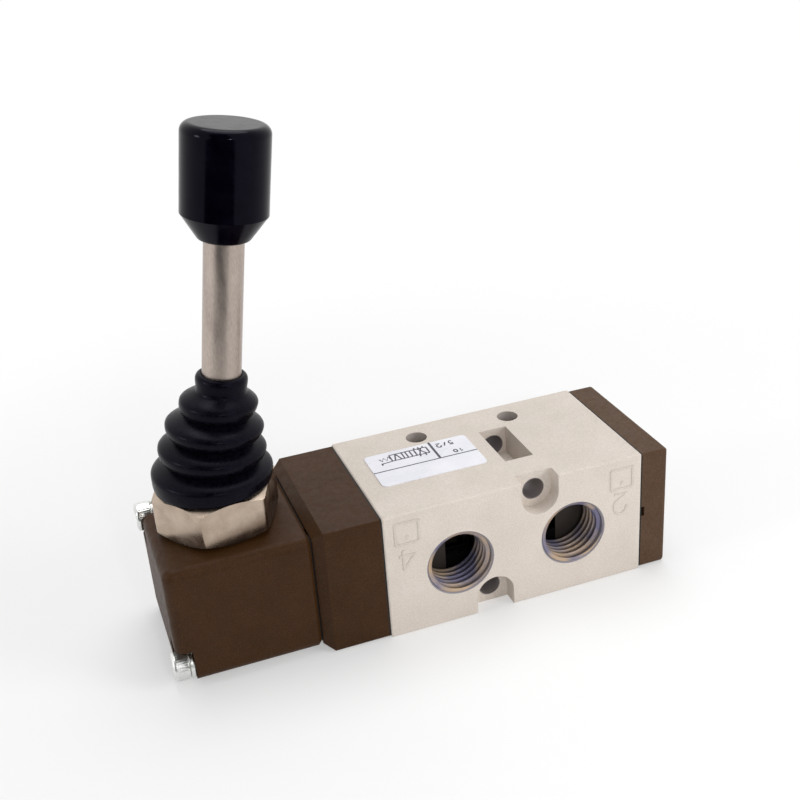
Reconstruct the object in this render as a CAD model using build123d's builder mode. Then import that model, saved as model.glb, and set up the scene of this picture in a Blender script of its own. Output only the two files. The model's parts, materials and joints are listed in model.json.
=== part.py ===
from build123d import *
import os
from math import cos, pi, radians, sin, sqrt, tan

# Hand lever air valve: a five port spool valve, pushed over by a lever and brought back by a spring.
# Millimetres. The origin is the middle of the valve body's underside. +X runs along the valve,
# away from the lever, +Y runs to the side with three ports, and +Z runs up.

os.makedirs("parts", exist_ok=True)

# Valve body
body_len = 54.0
body_wid = 32.0
body_ht = 27.0
body_edge = 0.4
bore_r = 5.8
groove_r = 6.8
groove_wid = 5.0
groove_pitch = 9.0

# Ports: a G1/4 thread's major radius, with a lead-in
port_r = 6.58
port_mouth_r = 6.95
port_depth = 8.2
port_drop = 0.5
front_port_x = 12.0
back_port_x = 19.7
window_len = 6.0
window_ht = 8.0

# Mounting holes for M4 screws
mount_r = 2.2
top_hole_x = 10.25
top_hole_from_back = 5.4
side_hole_x = 5.0
side_hole_in = 3.7
notch_r = 3.9
notch_depth = 3.3
pocket_len = 6.0
pocket_wid = 13.3

# Label
label_len = 21.9
label_wid = 12.6
label_thick = 0.15
label_corner = 1.0
label_x = -12.05
label_y = 0.8

# End blocks
gasket_thick = 0.3
cap_len = 5.7
cap_edge = 0.8
block_inset = 0.25
block_len = 12.8
block_corner = 0.5
block_chamfer_len = 1.9
block_chamfer_in = 1.4
housing_inset = 1.2
housing_len = 27.2
housing_edge = 2.0
housing_chamfer = 0.6
cavity_r = 7.5
cavity_end_wall = 3.6
vent_wid = 0.7
vent_ht = 2.1
cap_recess_r = 5.0

# Screws: M3 with a socket head
screw_r = 1.5
screw_fit = 0.05
thread_depth = 6.0
clear_r = 1.7
head_r = 2.75
head_len = 3.0
washer_len = 1.0
washer_gap = 0.6
small_head_r = 2.5
small_head_len = 2.6
small_head_sink = 0.2
small_head_gap = 0.2
socket_r = 1.45
socket_depth = 1.4
head_chamfer = 0.3
long_screw_in = 4.0
short_screw_in_y = 5.6
short_screw_in_z = 4.6
corner_notch = 7.2
corner_notch_len = 3.1

# Lever
lean = 8.8
pivot_rise = 0.7
ball_r = 5.5
ball_flat = 4.2
running_fit = 0.05
slide_fit = 0.1
rod_r = 3.55
spigot_r = 3.0
arm_r = 2.0
tip_r = 3.0
tip_stub_r = 1.2
knob_at = 53.7
knob_len = 19.7
knob_r = 7.62
knob_foot_r = 4.5
knob_cone_len = 4.5
knob_top_edge = 1.6
knob_foot_edge = 1.0
knob_hole_r = 3.0
knob_hole_depth = 12.0

# Gland
hex_across = 21.0
hex_ht = 8.6
hex_turn = 6.6
hex_corner_round = 1.0
hex_chamfer_r = 10.1
hex_chamfer_angle = 30.0
shank_r = 7.95
shank_len = 5.4
shank_fit = 0.05
seat_r = 6.25
seat_fit = 0.05
seat_top = 0.8
seat_bottom = 4.6
clip_thick = 0.8
clip_gap = 0.05
clip_in_r = 5.0
clip_groove = 0.6
throat_gap = 0.25
neck_r = 7.0
neck_ht = 2.4
lip_r = 7.6
lip_ht = 0.9

# Boot: its rings' radii from the gland up, the radii of the foot and the valleys after it, and
# how far out each ring's side comes at shares of its height
ring_radii = (11.2, 9.9, 8.9, 7.1)
valley_radii = (10.9, 8.3, 7.2, 6.0, 4.55)
ring_side = ((0, 0), (0.12, 0.5), (0.26, 0.84), (0.4, 0.98), (0.54, 1), (0.66, 0.9), (0.78, 0.62), (0.9, 0.25))
ring_crest = 0.54
boot_wall = 1.1
boot_fit = 0.05
boot_bend = 1.7
boot_tilt = 11.0
bead_gap = 0.5
collar_at = 25.7
collar_r = 4.75
collar_len = 3.3
collar_lap = 0.3
collar_edge = 0.8

# Spool and its stem
spool_fit = 0.06
waist_r = 4.0
land_half = 1.2
end_land_in = 3.6
seal_cord_r = 0.75
seal_fit = 0.03
stem_r = 3.0
stem_stub_r = 2.0
stem_stub_len = 5.0
head_stub_len = 3.6
stem_head_r = 5.4
stem_head_gap = 1.9
stem_head_right = 7.5
stem_head_left = 5.5
guide_len = 3.4
guide_fit = 0.05
stop_gap = 0.3
stem_clip_r = 4.2
stem_clip_thick = 0.7
stem_groove_r = 2.5
cup_r = 6.2
cup_thick = 1.0
cup_rim = 1.2
cup_gap = 0.2
socket_floor_gap = 0.3
spring_room_r = 6.6
spring_wall = 2.2
spring_r = 5.0
wire_r = 0.5
spring_turns = 4.0

# Places along the valve
body_left = -body_len / 2
body_right = body_len / 2
block_right = body_left - gasket_thick
block_left = block_right - block_len
housing_right = block_left - gasket_thick
housing_left = housing_right - housing_len
pivot_x = (housing_left + housing_right) / 2
cap_left = body_right + gasket_thick
cap_right = cap_left + cap_len
front_y = -body_wid / 2
back_y = body_wid / 2
bore_z = body_ht / 2
port_z = bore_z - port_drop
housing_top = body_ht - housing_inset
pivot_z = housing_top + pivot_rise
lower_arm = pivot_z - bore_z
half_stroke = lower_arm * sin(radians(lean))
spool_x = -half_stroke

# The lever's own planes: radius along x and height above the pivot along y, for profiles to revolve
lever_x = Vector(cos(radians(lean)), 0, -sin(radians(lean)))
lever_up = Vector(sin(radians(lean)), 0, cos(radians(lean)))
pivot = Vector(pivot_x, 0, pivot_z)
lever_profile = Plane(origin=pivot, x_dir=lever_x, z_dir=(0, -1, 0))
lever_axis = Axis(pivot, lever_up)
gland_profile = Plane(origin=(pivot_x, 0, 0), x_dir=(1, 0, 0), z_dir=(0, -1, 0))
gland_axis = Axis((pivot_x, 0, 0), (0, 0, 1))
bore_profile = Plane(origin=(0, 0, bore_z), x_dir=(1, 0, 0), z_dir=(0, -1, 0))
bore_axis = Axis((0, 0, bore_z), (1, 0, 0))

# Screw places as (y, z): the long pair lies on one diagonal and the short pairs on the other
long_screws = [
    (front_y + long_screw_in, long_screw_in),
    (back_y - long_screw_in, body_ht - long_screw_in),
]
short_screws = [
    (front_y + short_screw_in_y, body_ht - short_screw_in_z),
    (back_y - short_screw_in_y, short_screw_in_z),
]
front_ports = [(-front_port_x, -groove_pitch), (front_port_x, groove_pitch)]
back_ports = [(-back_port_x, -2 * groove_pitch), (0, 0), (back_port_x, 2 * groove_pitch)]
side_holes = [(side_hole_x, body_ht - side_hole_in, 1), (-side_hole_x, side_hole_in, -1)]


def left_facing(x, y, z):
    """A plane square to the valve that faces away from the body, towards the lever's end."""
    return Plane(origin=(x, y, z), x_dir=(0, -1, 0), z_dir=(-1, 0, 0))


def right_facing(x, y, z):
    return Plane(origin=(x, y, z), x_dir=(0, 1, 0), z_dir=(1, 0, 0))


def section(x, inset, corner):
    """The valve's outline at x, set in from the body's sides."""
    with BuildSketch(right_facing(x, 0, body_ht / 2)) as outline:
        RectangleRounded(body_wid - 2 * inset, body_ht - 2 * inset, corner)
    return outline.sketch


def cut_holes(x, length, places, radius):
    """Round holes along X from x, for a part that is being built."""
    with BuildSketch(*[right_facing(x, y, z) for y, z in places]) as holes:
        Circle(radius)
    return extrude(holes.sketch, amount=length, mode=Mode.PRIVATE)


def socket_screws(planes, radius, length, shank_len):
    """Socket head screws. Each plane lies under a head and faces the way the head stands."""
    with BuildPart() as screws:
        with BuildSketch(*planes):
            Circle(radius)
        extrude(amount=length)
        tops = [screws.faces().sort_by_distance(plane.origin + plane.z_dir * length)[0] for plane in planes]
        chamfer([edge for top in tops for edge in top.edges()], head_chamfer)
        with BuildSketch(*planes):
            Circle(screw_r)
        extrude(amount=-shank_len)
        with BuildSketch(*[plane.offset(length) for plane in planes]):
            RegularPolygon(socket_r, 6)
        extrude(amount=-socket_depth, mode=Mode.SUBTRACT)
    return screws.part


def save(part, name):
    part.label = name
    export_step(part, f"parts/{name}.step")


# Valve body: a cast block with the spool's bore along it and the ports across it
with BuildPart() as valve_body:
    with BuildSketch(right_facing(body_left, 0, body_ht / 2)):
        Rectangle(body_wid, body_ht)
    extrude(amount=body_len)
    fillet(valve_body.edges(), body_edge)

    # The bore, with a groove round it at each port
    add(cut_holes(body_left, body_len, [(0, bore_z)], bore_r), mode=Mode.SUBTRACT)
    for step in range(-2, 3):
        groove_left = step * groove_pitch - groove_wid / 2
        add(cut_holes(groove_left, groove_wid, [(0, bore_z)], groove_r), mode=Mode.SUBTRACT)

    # Two ports in front and three behind, each with a window in its floor that meets its groove
    for side, ports in ((-1, front_ports), (1, back_ports)):
        for port_x, groove_x in ports:
            mouth = Plane(origin=(port_x, side * body_wid / 2, port_z), x_dir=(1, 0, 0), z_dir=(0, side, 0))
            with Locations(mouth):
                CounterSinkHole(port_r, port_mouth_r, port_depth, 90)
            floor_y = side * (body_wid / 2 - port_depth)
            window_depth = abs(floor_y) - bore_r - running_fit
            with BuildSketch(Plane(origin=(groove_x, floor_y, bore_z), x_dir=(1, 0, 0), z_dir=(0, -side, 0))):
                Rectangle(window_len, window_ht)
            extrude(amount=window_depth, mode=Mode.SUBTRACT)

    # Two mounting holes down through the body, near its back
    with Locations(*[(x, back_y - top_hole_from_back, body_ht) for x in (-top_hole_x, top_hole_x)]):
        Hole(mount_r)

    # Two mounting holes from front to back, each with a round notch for the screw's head and a pocket
    for hole_x, hole_z, way in side_holes:
        with BuildSketch(Plane(origin=(hole_x, front_y, hole_z), x_dir=(1, 0, 0), z_dir=(0, -1, 0))):
            Circle(mount_r)
        extrude(amount=-body_wid, mode=Mode.SUBTRACT)
        with BuildSketch(Plane(origin=(hole_x, front_y, hole_z), x_dir=(1, 0, 0), z_dir=(0, -1, 0))):
            Circle(notch_r)
            with Locations((0, way * side_hole_in)):
                Rectangle(2 * notch_r, 2 * side_hole_in)
        extrude(amount=-notch_depth, mode=Mode.SUBTRACT)
        with BuildSketch(Plane.XY.offset(hole_z - way * mount_r)):
            with Locations((hole_x, 0)):
                Rectangle(pocket_len, pocket_wid)
        extrude(amount=way * (side_hole_in + mount_r), mode=Mode.SUBTRACT)

    # Tapped holes for the end blocks' screws
    tapped_r = screw_r + screw_fit
    add(cut_holes(body_left, thread_depth, long_screws + short_screws, tapped_r), mode=Mode.SUBTRACT)
    add(cut_holes(body_right - thread_depth, thread_depth, short_screws, tapped_r), mode=Mode.SUBTRACT)
save(valve_body.part, "valve_body")


# Label: a bare printed plate stuck on the body's top
with BuildPart() as label_plate:
    with BuildSketch(Plane.XY.offset(body_ht)):
        with Locations((label_x, label_y)):
            RectangleRounded(label_len, label_wid, label_corner)
    extrude(amount=label_thick)
save(label_plate.part, "label_plate")


# End cap, with a vent slot in front that lets the air out from behind the spool
with BuildPart() as end_cap:
    extrude(section(cap_left, block_inset, block_corner), amount=cap_len)
    fillet(end_cap.faces().sort_by(Axis.X)[-1].edges(), cap_edge)
    add(cut_holes(cap_left, vent_wid, [(0, bore_z)], cap_recess_r), mode=Mode.SUBTRACT)
    with BuildSketch(right_facing(cap_left, 0, bore_z)):
        Rectangle(body_wid, vent_ht, align=(Align.MAX, Align.CENTER))
    extrude(amount=vent_wid, mode=Mode.SUBTRACT)
    add(cut_holes(cap_left, cap_len, short_screws, clear_r), mode=Mode.SUBTRACT)
    head_room = small_head_len + small_head_sink
    room_r = small_head_r + small_head_gap
    add(cut_holes(cap_right - head_room, head_room, short_screws, room_r), mode=Mode.SUBTRACT)
save(end_cap.part, "end_cap")

with BuildPart() as end_cap_gasket:
    extrude(section(body_right, block_inset, block_corner), amount=gasket_thick)
    add(cut_holes(body_right, gasket_thick, [(0, bore_z)], bore_r), mode=Mode.SUBTRACT)
    add(cut_holes(body_right, gasket_thick, short_screws, clear_r), mode=Mode.SUBTRACT)
save(end_cap_gasket.part, "end_cap_gasket")

cap_seat_x = cap_right - head_room
cap_shank = cap_seat_x - body_right + thread_depth - washer_gap
cap_screw_planes = [right_facing(cap_seat_x, y, z) for y, z in short_screws]
save(socket_screws(cap_screw_planes, small_head_r, small_head_len, cap_shank), "end_cap_screws")


# Spring block between the body and the lever housing, with room for the return spring
with BuildPart() as spring_block:
    seam_outline = section(block_left, block_inset + block_chamfer_in, block_corner)
    full_outline = section(block_left + block_chamfer_len, block_inset, block_corner)
    loft([seam_outline.face(), full_outline.face()], ruled=True)
    extrude(full_outline, amount=block_len - block_chamfer_len)
    spring_room = block_len - spring_wall
    add(cut_holes(block_left, spring_room, [(0, bore_z)], spring_room_r), mode=Mode.SUBTRACT)
    add(cut_holes(block_left, block_len, [(0, bore_z)], stem_r + slide_fit), mode=Mode.SUBTRACT)
    add(cut_holes(block_left, block_len, long_screws + short_screws, clear_r), mode=Mode.SUBTRACT)
    add(cut_holes(block_left, head_room, short_screws, room_r), mode=Mode.SUBTRACT)
save(spring_block.part, "spring_block")

with BuildPart() as spring_block_gasket:
    extrude(section(block_right, block_inset, block_corner), amount=gasket_thick)
    add(cut_holes(block_right, gasket_thick, [(0, bore_z)], bore_r), mode=Mode.SUBTRACT)
    add(cut_holes(block_right, gasket_thick, long_screws + short_screws, clear_r), mode=Mode.SUBTRACT)
save(spring_block_gasket.part, "spring_block_gasket")

block_seat_x = block_left + head_room
block_shank = body_left - block_seat_x + thread_depth - washer_gap
block_screw_planes = [left_facing(block_seat_x, y, z) for y, z in short_screws]
save(socket_screws(block_screw_planes, small_head_r, small_head_len, block_shank), "spring_block_screws")


# Lever housing, with corner notches for the two long screws
with BuildPart() as lever_housing:
    with BuildSketch(right_facing(housing_left, 0, body_ht / 2)):
        Rectangle(body_wid - 2 * housing_inset, body_ht - 2 * housing_inset)
    extrude(amount=housing_len)
    seam_edges = lever_housing.faces().sort_by(Axis.X)[-1].edges()
    round_edges = [edge for edge in lever_housing.edges() if edge not in seam_edges]
    fillet(round_edges, housing_edge)
    chamfer(lever_housing.faces().sort_by(Axis.X)[-1].edges(), housing_chamfer)

    # The stem's room along the valve, and the gland's hole down into it
    cavity_len = housing_len - cavity_end_wall
    cavity_left = housing_left + cavity_end_wall
    add(cut_holes(cavity_left, cavity_len, [(0, bore_z)], cavity_r), mode=Mode.SUBTRACT)
    with BuildSketch(Plane.XY.offset(bore_z)):
        with Locations((pivot_x, 0)):
            Circle(shank_r + shank_fit)
    extrude(amount=body_ht, mode=Mode.SUBTRACT)

    # Each corner notch is cut in from the housing's corner
    for y, z in long_screws:
        out_y = 1 if y > 0 else -1
        out_z = 1 if z > body_ht / 2 else -1
        corner_y = out_y * (body_wid / 2 - housing_inset)
        corner_z = body_ht / 2 + out_z * (body_ht / 2 - housing_inset)
        with BuildSketch(right_facing(housing_left, 0, 0)):
            with Locations((corner_y, corner_z)):
                Rectangle(2 * corner_notch, 2 * corner_notch)
        extrude(amount=corner_notch_len, mode=Mode.SUBTRACT)
    add(cut_holes(housing_left, housing_len, long_screws, clear_r), mode=Mode.SUBTRACT)
save(lever_housing.part, "lever_housing")

seam_inset = block_inset + block_chamfer_in + block_corner
with BuildPart() as housing_gasket:
    extrude(section(housing_right, seam_inset, block_corner), amount=gasket_thick)
    add(cut_holes(housing_right, gasket_thick, [(0, bore_z)], spring_room_r), mode=Mode.SUBTRACT)
    add(cut_holes(housing_right, gasket_thick, long_screws, clear_r), mode=Mode.SUBTRACT)
    add(cut_holes(housing_right, gasket_thick, short_screws, room_r), mode=Mode.SUBTRACT)
save(housing_gasket.part, "housing_gasket")

washer_seat_x = housing_left + corner_notch_len
with BuildPart() as lock_washers:
    with BuildSketch(*[left_facing(washer_seat_x, y, z) for y, z in long_screws]):
        Circle(head_r)
        Circle(clear_r, mode=Mode.SUBTRACT)
    extrude(amount=washer_len)
save(lock_washers.part, "lock_washers")

head_seat_x = washer_seat_x - washer_len
long_shank = body_left - head_seat_x + thread_depth - washer_gap
long_screw_planes = [left_facing(head_seat_x, y, z) for y, z in long_screws]
save(socket_screws(long_screw_planes, head_r, head_len, long_shank), "housing_screws")


# Pivot gland: a hexagon on a threaded shank, which holds the lever's ball
hex_top = housing_top + hex_ht
hex_corner_r = hex_across / sqrt(3)
chamfer_ht = (hex_corner_r - hex_chamfer_r) * tan(radians(hex_chamfer_angle))
shank_bottom = housing_top - shank_len
socket_ball_r = ball_r + running_fit
throat_low = ball_flat - rod_r * tan(radians(lean))
throat_top_r = rod_r / cos(radians(lean)) + (hex_top + neck_ht - pivot_z) * tan(radians(lean)) + throat_gap
throat_low_r = sqrt(socket_ball_r**2 - throat_low**2)
clip_top = pivot_z - seat_bottom
clip_bottom = clip_top - clip_thick
with BuildPart() as pivot_gland:
    with BuildSketch(Plane.XY.offset(housing_top)):
        with Locations((pivot_x, 0)):
            RegularPolygon(hex_corner_r, 6, rotation=hex_turn)
    extrude(amount=hex_ht)
    fillet(pivot_gland.edges().filter_by(Axis.Z), hex_corner_round)
    with BuildSketch(gland_profile):
        with BuildLine():
            Polyline(
                (0, housing_top),
                (hex_chamfer_r, housing_top),
                (hex_corner_r, housing_top + chamfer_ht),
                (hex_corner_r, hex_top - chamfer_ht),
                (hex_chamfer_r, hex_top),
                (0, hex_top),
                close=True,
            )
        make_face()
    revolve(axis=gland_axis, mode=Mode.INTERSECT)

    # Shank below and a lipped neck above for the boot
    with BuildSketch(gland_profile):
        with BuildLine():
            Polyline(
                (0, shank_bottom),
                (shank_r, shank_bottom),
                (shank_r, housing_top + chamfer_ht),
                (neck_r, hex_top - chamfer_ht),
                (neck_r, hex_top + neck_ht - lip_ht),
                (lip_r, hex_top + neck_ht - lip_ht),
                (lip_r, hex_top + neck_ht),
                (0, hex_top + neck_ht),
                close=True,
            )
        make_face()
    revolve(axis=gland_axis)

    # The ball's socket with its throat above, and the seat's bore with the clip's groove below
    with BuildSketch(gland_profile):
        with BuildLine():
            Line((0, shank_bottom), (seat_r + seat_fit, shank_bottom))
            Line((seat_r + seat_fit, shank_bottom), (seat_r + seat_fit, pivot_z))
            Line((seat_r + seat_fit, pivot_z), (socket_ball_r, pivot_z))
            ball_arc = RadiusArc((socket_ball_r, pivot_z), (throat_low_r, pivot_z + throat_low), -socket_ball_r)
            Line(ball_arc @ 1, (throat_top_r, hex_top + neck_ht))
            Line((throat_top_r, hex_top + neck_ht), (0, hex_top + neck_ht))
            Line((0, hex_top + neck_ht), (0, shank_bottom))
        make_face()
    revolve(axis=gland_axis, mode=Mode.SUBTRACT)
    with BuildSketch(Plane.XY.offset(clip_bottom - clip_gap)):
        with Locations((pivot_x, 0)):
            Circle(seat_r + clip_groove + clip_gap)
    extrude(amount=clip_thick + 2 * clip_gap, mode=Mode.SUBTRACT)
save(pivot_gland.part, "pivot_gland")

with BuildPart() as ball_seat:
    with BuildSketch(Plane.XY.offset(clip_top)):
        with Locations((pivot_x, 0)):
            Circle(seat_r)
    extrude(amount=seat_bottom - seat_top)
    with Locations((pivot_x, 0, pivot_z)):
        Sphere(socket_ball_r, mode=Mode.SUBTRACT)
save(ball_seat.part, "ball_seat")

with BuildPart() as seat_clip:
    with BuildSketch(Plane.XY.offset(clip_bottom)):
        with Locations((pivot_x, 0)):
            Circle(seat_r + clip_groove)
            Circle(clip_in_r, mode=Mode.SUBTRACT)
            with Locations((clip_in_r + clip_groove, 0)):
                Rectangle(2 * clip_in_r, clip_in_r / 2, align=(Align.MIN, Align.CENTER), mode=Mode.SUBTRACT)
    extrude(amount=clip_thick)
save(seat_clip.part, "seat_clip")


# Lever: a turned rod with a ball pressed on at the pivot and a smaller ball on its tip
tip_low = -lower_arm - tip_r + head_chamfer
tip_high = -lower_arm + sqrt(tip_r**2 - arm_r**2)
knob_hole_top = knob_at + knob_hole_depth
with BuildPart() as lever_rod:
    with BuildSketch(lever_profile):
        with BuildLine():
            Polyline(
                (0, tip_low),
                (tip_stub_r, tip_low),
                (tip_stub_r, tip_high),
                (arm_r, tip_high),
                (arm_r, -ball_flat),
                (spigot_r, -ball_flat),
                (spigot_r, ball_flat),
                (rod_r, ball_flat),
                (rod_r, knob_at),
                (knob_hole_r, knob_at),
                (knob_hole_r, knob_hole_top),
                (0, knob_hole_top),
                close=True,
            )
        make_face()
    revolve(axis=lever_axis)
save(lever_rod.part, "lever_rod")

ball_flat_r = sqrt(ball_r**2 - ball_flat**2)
with BuildPart() as pivot_ball:
    with BuildSketch(lever_profile):
        with BuildLine():
            Line((spigot_r, -ball_flat), (ball_flat_r, -ball_flat))
            RadiusArc((ball_flat_r, -ball_flat), (ball_flat_r, ball_flat), -ball_r)
            Line((ball_flat_r, ball_flat), (spigot_r, ball_flat))
            Line((spigot_r, ball_flat), (spigot_r, -ball_flat))
        make_face()
    revolve(axis=lever_axis)
save(pivot_ball.part, "pivot_ball")

tip_flat_r = sqrt(tip_r**2 - (tip_low + lower_arm) ** 2)
with BuildPart() as tip_ball:
    with BuildSketch(lever_profile):
        with BuildLine():
            Line((tip_stub_r, tip_low), (tip_flat_r, tip_low))
            RadiusArc((tip_flat_r, tip_low), (arm_r, tip_high), -tip_r)
            Line((arm_r, tip_high), (tip_stub_r, tip_high))
            Line((tip_stub_r, tip_high), (tip_stub_r, tip_low))
        make_face()
    revolve(axis=lever_axis)
save(tip_ball.part, "tip_ball")

knob_top = knob_at + knob_len
with BuildPart() as knob:
    with BuildSketch(lever_profile) as knob_outline:
        with BuildLine():
            Polyline(
                (knob_hole_r, knob_at),
                (knob_foot_r, knob_at),
                (knob_r, knob_at + knob_cone_len),
                (knob_r, knob_top),
                (0, knob_top),
                (0, knob_hole_top),
                (knob_hole_r, knob_hole_top),
                close=True,
            )
        make_face()
        fillet(knob_outline.vertices().sort_by_distance((knob_r, knob_top))[0], knob_top_edge)
        fillet(knob_outline.vertices().sort_by_distance((knob_foot_r, knob_at))[0], knob_foot_edge)
    revolve(axis=lever_axis)
save(knob.part, "knob")


# Rubber boot: thin bellows from the gland's neck up to the rod. Its middle line starts upright at
# the gland and leans over to the lever, and its rings tip over further than the lever does.
boot_foot = Vector(pivot_x, 0, hex_top + boot_fit)
boot_head = pivot + lever_up * collar_at
boot_rise = boot_head.Z - boot_foot.Z
bead_ht = neck_ht - lip_ht - bead_gap


def boot_section(height, radius):
    """A circle round the boot's middle line, at a height above the gland."""
    share = height / boot_rise
    across = share**boot_bend
    tilt = radians(boot_tilt) * (1 - (1 - share) ** 2)
    middle = (boot_foot.X + (boot_head.X - boot_foot.X) * across, 0, boot_foot.Z + height)
    plane = Plane(origin=middle, x_dir=(cos(tilt), 0, -sin(tilt)), z_dir=(sin(tilt), 0, cos(tilt)))
    with BuildSketch(plane) as circle:
        Circle(radius)
    return circle.sketch.face()


def bellows(bottom, inset):
    """Rings that bulge out between valleys, from a height up to the collar, set in for the inside."""
    ring_ht = boot_rise / len(ring_radii)
    sections = []
    for i, crest in enumerate(ring_radii):
        for phase, reach in ring_side:
            height = max((i + phase) * ring_ht, bottom)
            valley = valley_radii[i] if phase < ring_crest else valley_radii[i + 1]
            radius = valley + (crest - valley) * reach
            if not sections or height > bottom:
                sections.append(boot_section(height, radius - inset))
    sections.append(boot_section(boot_rise, valley_radii[-1] - inset))
    return sections


with BuildPart() as rubber_boot:
    loft(bellows(0, 0), ruled=True)
    with BuildSketch(lever_profile) as collar:
        with Locations((0, collar_at + collar_len)):
            Rectangle(collar_r, collar_len + collar_lap, align=(Align.MIN, Align.MAX))
        collar_rim = (collar_r, collar_at + collar_len)
        fillet(collar.vertices().sort_by_distance(collar_rim)[0], collar_edge)
    revolve(axis=lever_axis)
    loft(bellows(bead_ht, boot_wall), ruled=True, mode=Mode.SUBTRACT)
    with BuildSketch(Plane.XY.offset(hex_top)):
        with Locations((pivot_x, 0)):
            Circle(neck_r + boot_fit)
    extrude(amount=2 * bead_ht, mode=Mode.SUBTRACT)
    with BuildSketch(lever_profile):
        with Locations((0, collar_at - collar_len)):
            Rectangle(rod_r + boot_fit, 3 * collar_len, align=(Align.MIN, Align.MIN))
    revolve(axis=lever_axis, mode=Mode.SUBTRACT)
save(rubber_boot.part, "rubber_boot")


# Spool: lands with a seal ring each, which open and close the ways between the grooves
seal_mid_r = bore_r - seal_fit - seal_cord_r
seal_seat_r = seal_mid_r - seal_cord_r - seal_fit
seal_seat_half = seal_cord_r + seal_fit
land_r = bore_r - spool_fit
end_land_at = body_len / 2 - end_land_in
land_places = [
    -end_land_at,
    -1.5 * groove_pitch - half_stroke,
    -0.5 * groove_pitch + half_stroke,
    0.5 * groove_pitch - half_stroke,
    1.5 * groove_pitch + half_stroke,
    end_land_at,
]
spool_left = spool_x - end_land_at - land_half
spool_right = spool_x + end_land_at + land_half
with BuildPart() as spool:
    with BuildSketch(bore_profile):
        with Locations((spool_left, 0)):
            Rectangle(spool_right - spool_left, waist_r, align=(Align.MIN, Align.MIN))
        for place in land_places:
            with Locations((spool_x + place, 0)):
                Rectangle(2 * land_half, land_r, align=(Align.CENTER, Align.MIN))
        for place in land_places:
            with Locations((spool_x + place, seal_seat_r)):
                Rectangle(2 * seal_seat_half, land_r, align=(Align.CENTER, Align.MIN), mode=Mode.SUBTRACT)
        with Locations((spool_left, 0)):
            Rectangle(stem_stub_len, stem_stub_r, align=(Align.MIN, Align.MIN), mode=Mode.SUBTRACT)
    revolve(axis=bore_axis)
save(spool.part, "spool")

for number, place in enumerate(land_places, start=1):
    with BuildPart() as spool_seal:
        with BuildSketch(bore_profile):
            with Locations((spool_x + place, seal_mid_r)):
                Circle(seal_cord_r)
        revolve(axis=bore_axis)
    save(spool_seal.part, f"spool_seal_{number}")


# Stem: screwed into the spool and led by a bush, with a head that the lever's tip ball sits in
socket_x = pivot_x - half_stroke
head_right = socket_x + stem_head_right
head_left = socket_x - stem_head_left
stem_clip_left = housing_right + stop_gap
cup_left = stem_clip_left + stem_clip_thick
cup_right = cup_left + cup_thick
with BuildPart() as spool_stem:
    with BuildSketch(bore_profile):
        with Locations((head_right, 0)):
            Rectangle(spool_left - head_right, stem_r, align=(Align.MIN, Align.MIN))
        with Locations((head_right - head_stub_len, 0)):
            stub_to_stub = head_stub_len + spool_left - head_right + stem_stub_len
            Rectangle(stub_to_stub, stem_stub_r, align=(Align.MIN, Align.MIN))
        with Locations((stem_clip_left, stem_groove_r)):
            Rectangle(stem_clip_thick, stem_r, align=(Align.MIN, Align.MIN), mode=Mode.SUBTRACT)
    revolve(axis=bore_axis)
save(spool_stem.part, "spool_stem")

with BuildPart() as stem_head:
    with BuildSketch(bore_profile):
        with Locations((head_left, 0)):
            Rectangle(head_right - head_left, stem_head_r, align=(Align.MIN, Align.MIN))
        with Locations((head_right, 0)):
            Rectangle(head_stub_len, stem_stub_r, align=(Align.MAX, Align.MIN), mode=Mode.SUBTRACT)
    revolve(axis=bore_axis)
    rims = stem_head.edges().filter_by(GeomType.CIRCLE).group_by(SortBy.RADIUS)[-1]
    chamfer(rims, head_chamfer)
    with BuildSketch(Plane.XY.offset(shank_bottom - stem_head_gap)):
        with Locations((socket_x, 0)):
            Rectangle(4 * stem_head_r, 4 * stem_head_r)
    extrude(amount=stem_head_r, mode=Mode.SUBTRACT)
    with BuildSketch(Plane.XY.offset(bore_z - tip_r - socket_floor_gap)):
        with Locations((socket_x, 0)):
            Circle(tip_r + slide_fit)
    extrude(amount=2 * stem_head_r, mode=Mode.SUBTRACT)
save(stem_head.part, "stem_head")

with BuildPart() as stem_guide:
    with BuildSketch(right_facing(housing_right, 0, bore_z)):
        Circle(cavity_r - guide_fit)
        Circle(stem_r + running_fit, mode=Mode.SUBTRACT)
    extrude(amount=-guide_len)
save(stem_guide.part, "stem_guide")

with BuildPart() as stem_clip:
    with BuildSketch(right_facing(stem_clip_left, 0, bore_z)):
        Circle(stem_clip_r)
        Circle(stem_groove_r, mode=Mode.SUBTRACT)
        Rectangle(2 * stem_groove_r, 2 * stem_clip_r, align=(Align.CENTER, Align.MAX), mode=Mode.SUBTRACT)
    extrude(amount=stem_clip_thick)
save(stem_clip.part, "stem_clip")

with BuildPart() as spring_cup:
    with BuildSketch(right_facing(cup_left, 0, bore_z)):
        Circle(cup_r)
    extrude(amount=cup_thick)
    with BuildSketch(right_facing(cup_left, 0, bore_z)):
        Circle(spring_r - wire_r - cup_gap)
    extrude(amount=cup_thick + cup_rim)
    add(cut_holes(cup_left, cup_thick + cup_rim, [(0, bore_z)], stem_r + running_fit), mode=Mode.SUBTRACT)
save(spring_cup.part, "spring_cup")

spring_seat = block_right - spring_wall
spring_len = spring_seat - cup_right - 2 * wire_r
with BuildPart() as return_spring:
    with BuildLine() as coil:
        start = (cup_right + wire_r, 0, bore_z)
        Helix(spring_len / spring_turns, spring_len, spring_r, center=start, direction=(1, 0, 0))
    with BuildSketch(Plane(origin=coil.line @ 0, z_dir=coil.line % 0)):
        Circle(wire_r)
    sweep(is_frenet=True)
save(return_spring.part, "return_spring")
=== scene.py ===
import json
from math import cos, pi, radians, sin

import bmesh
import bpy
from mathutils import Matrix, Vector


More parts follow.
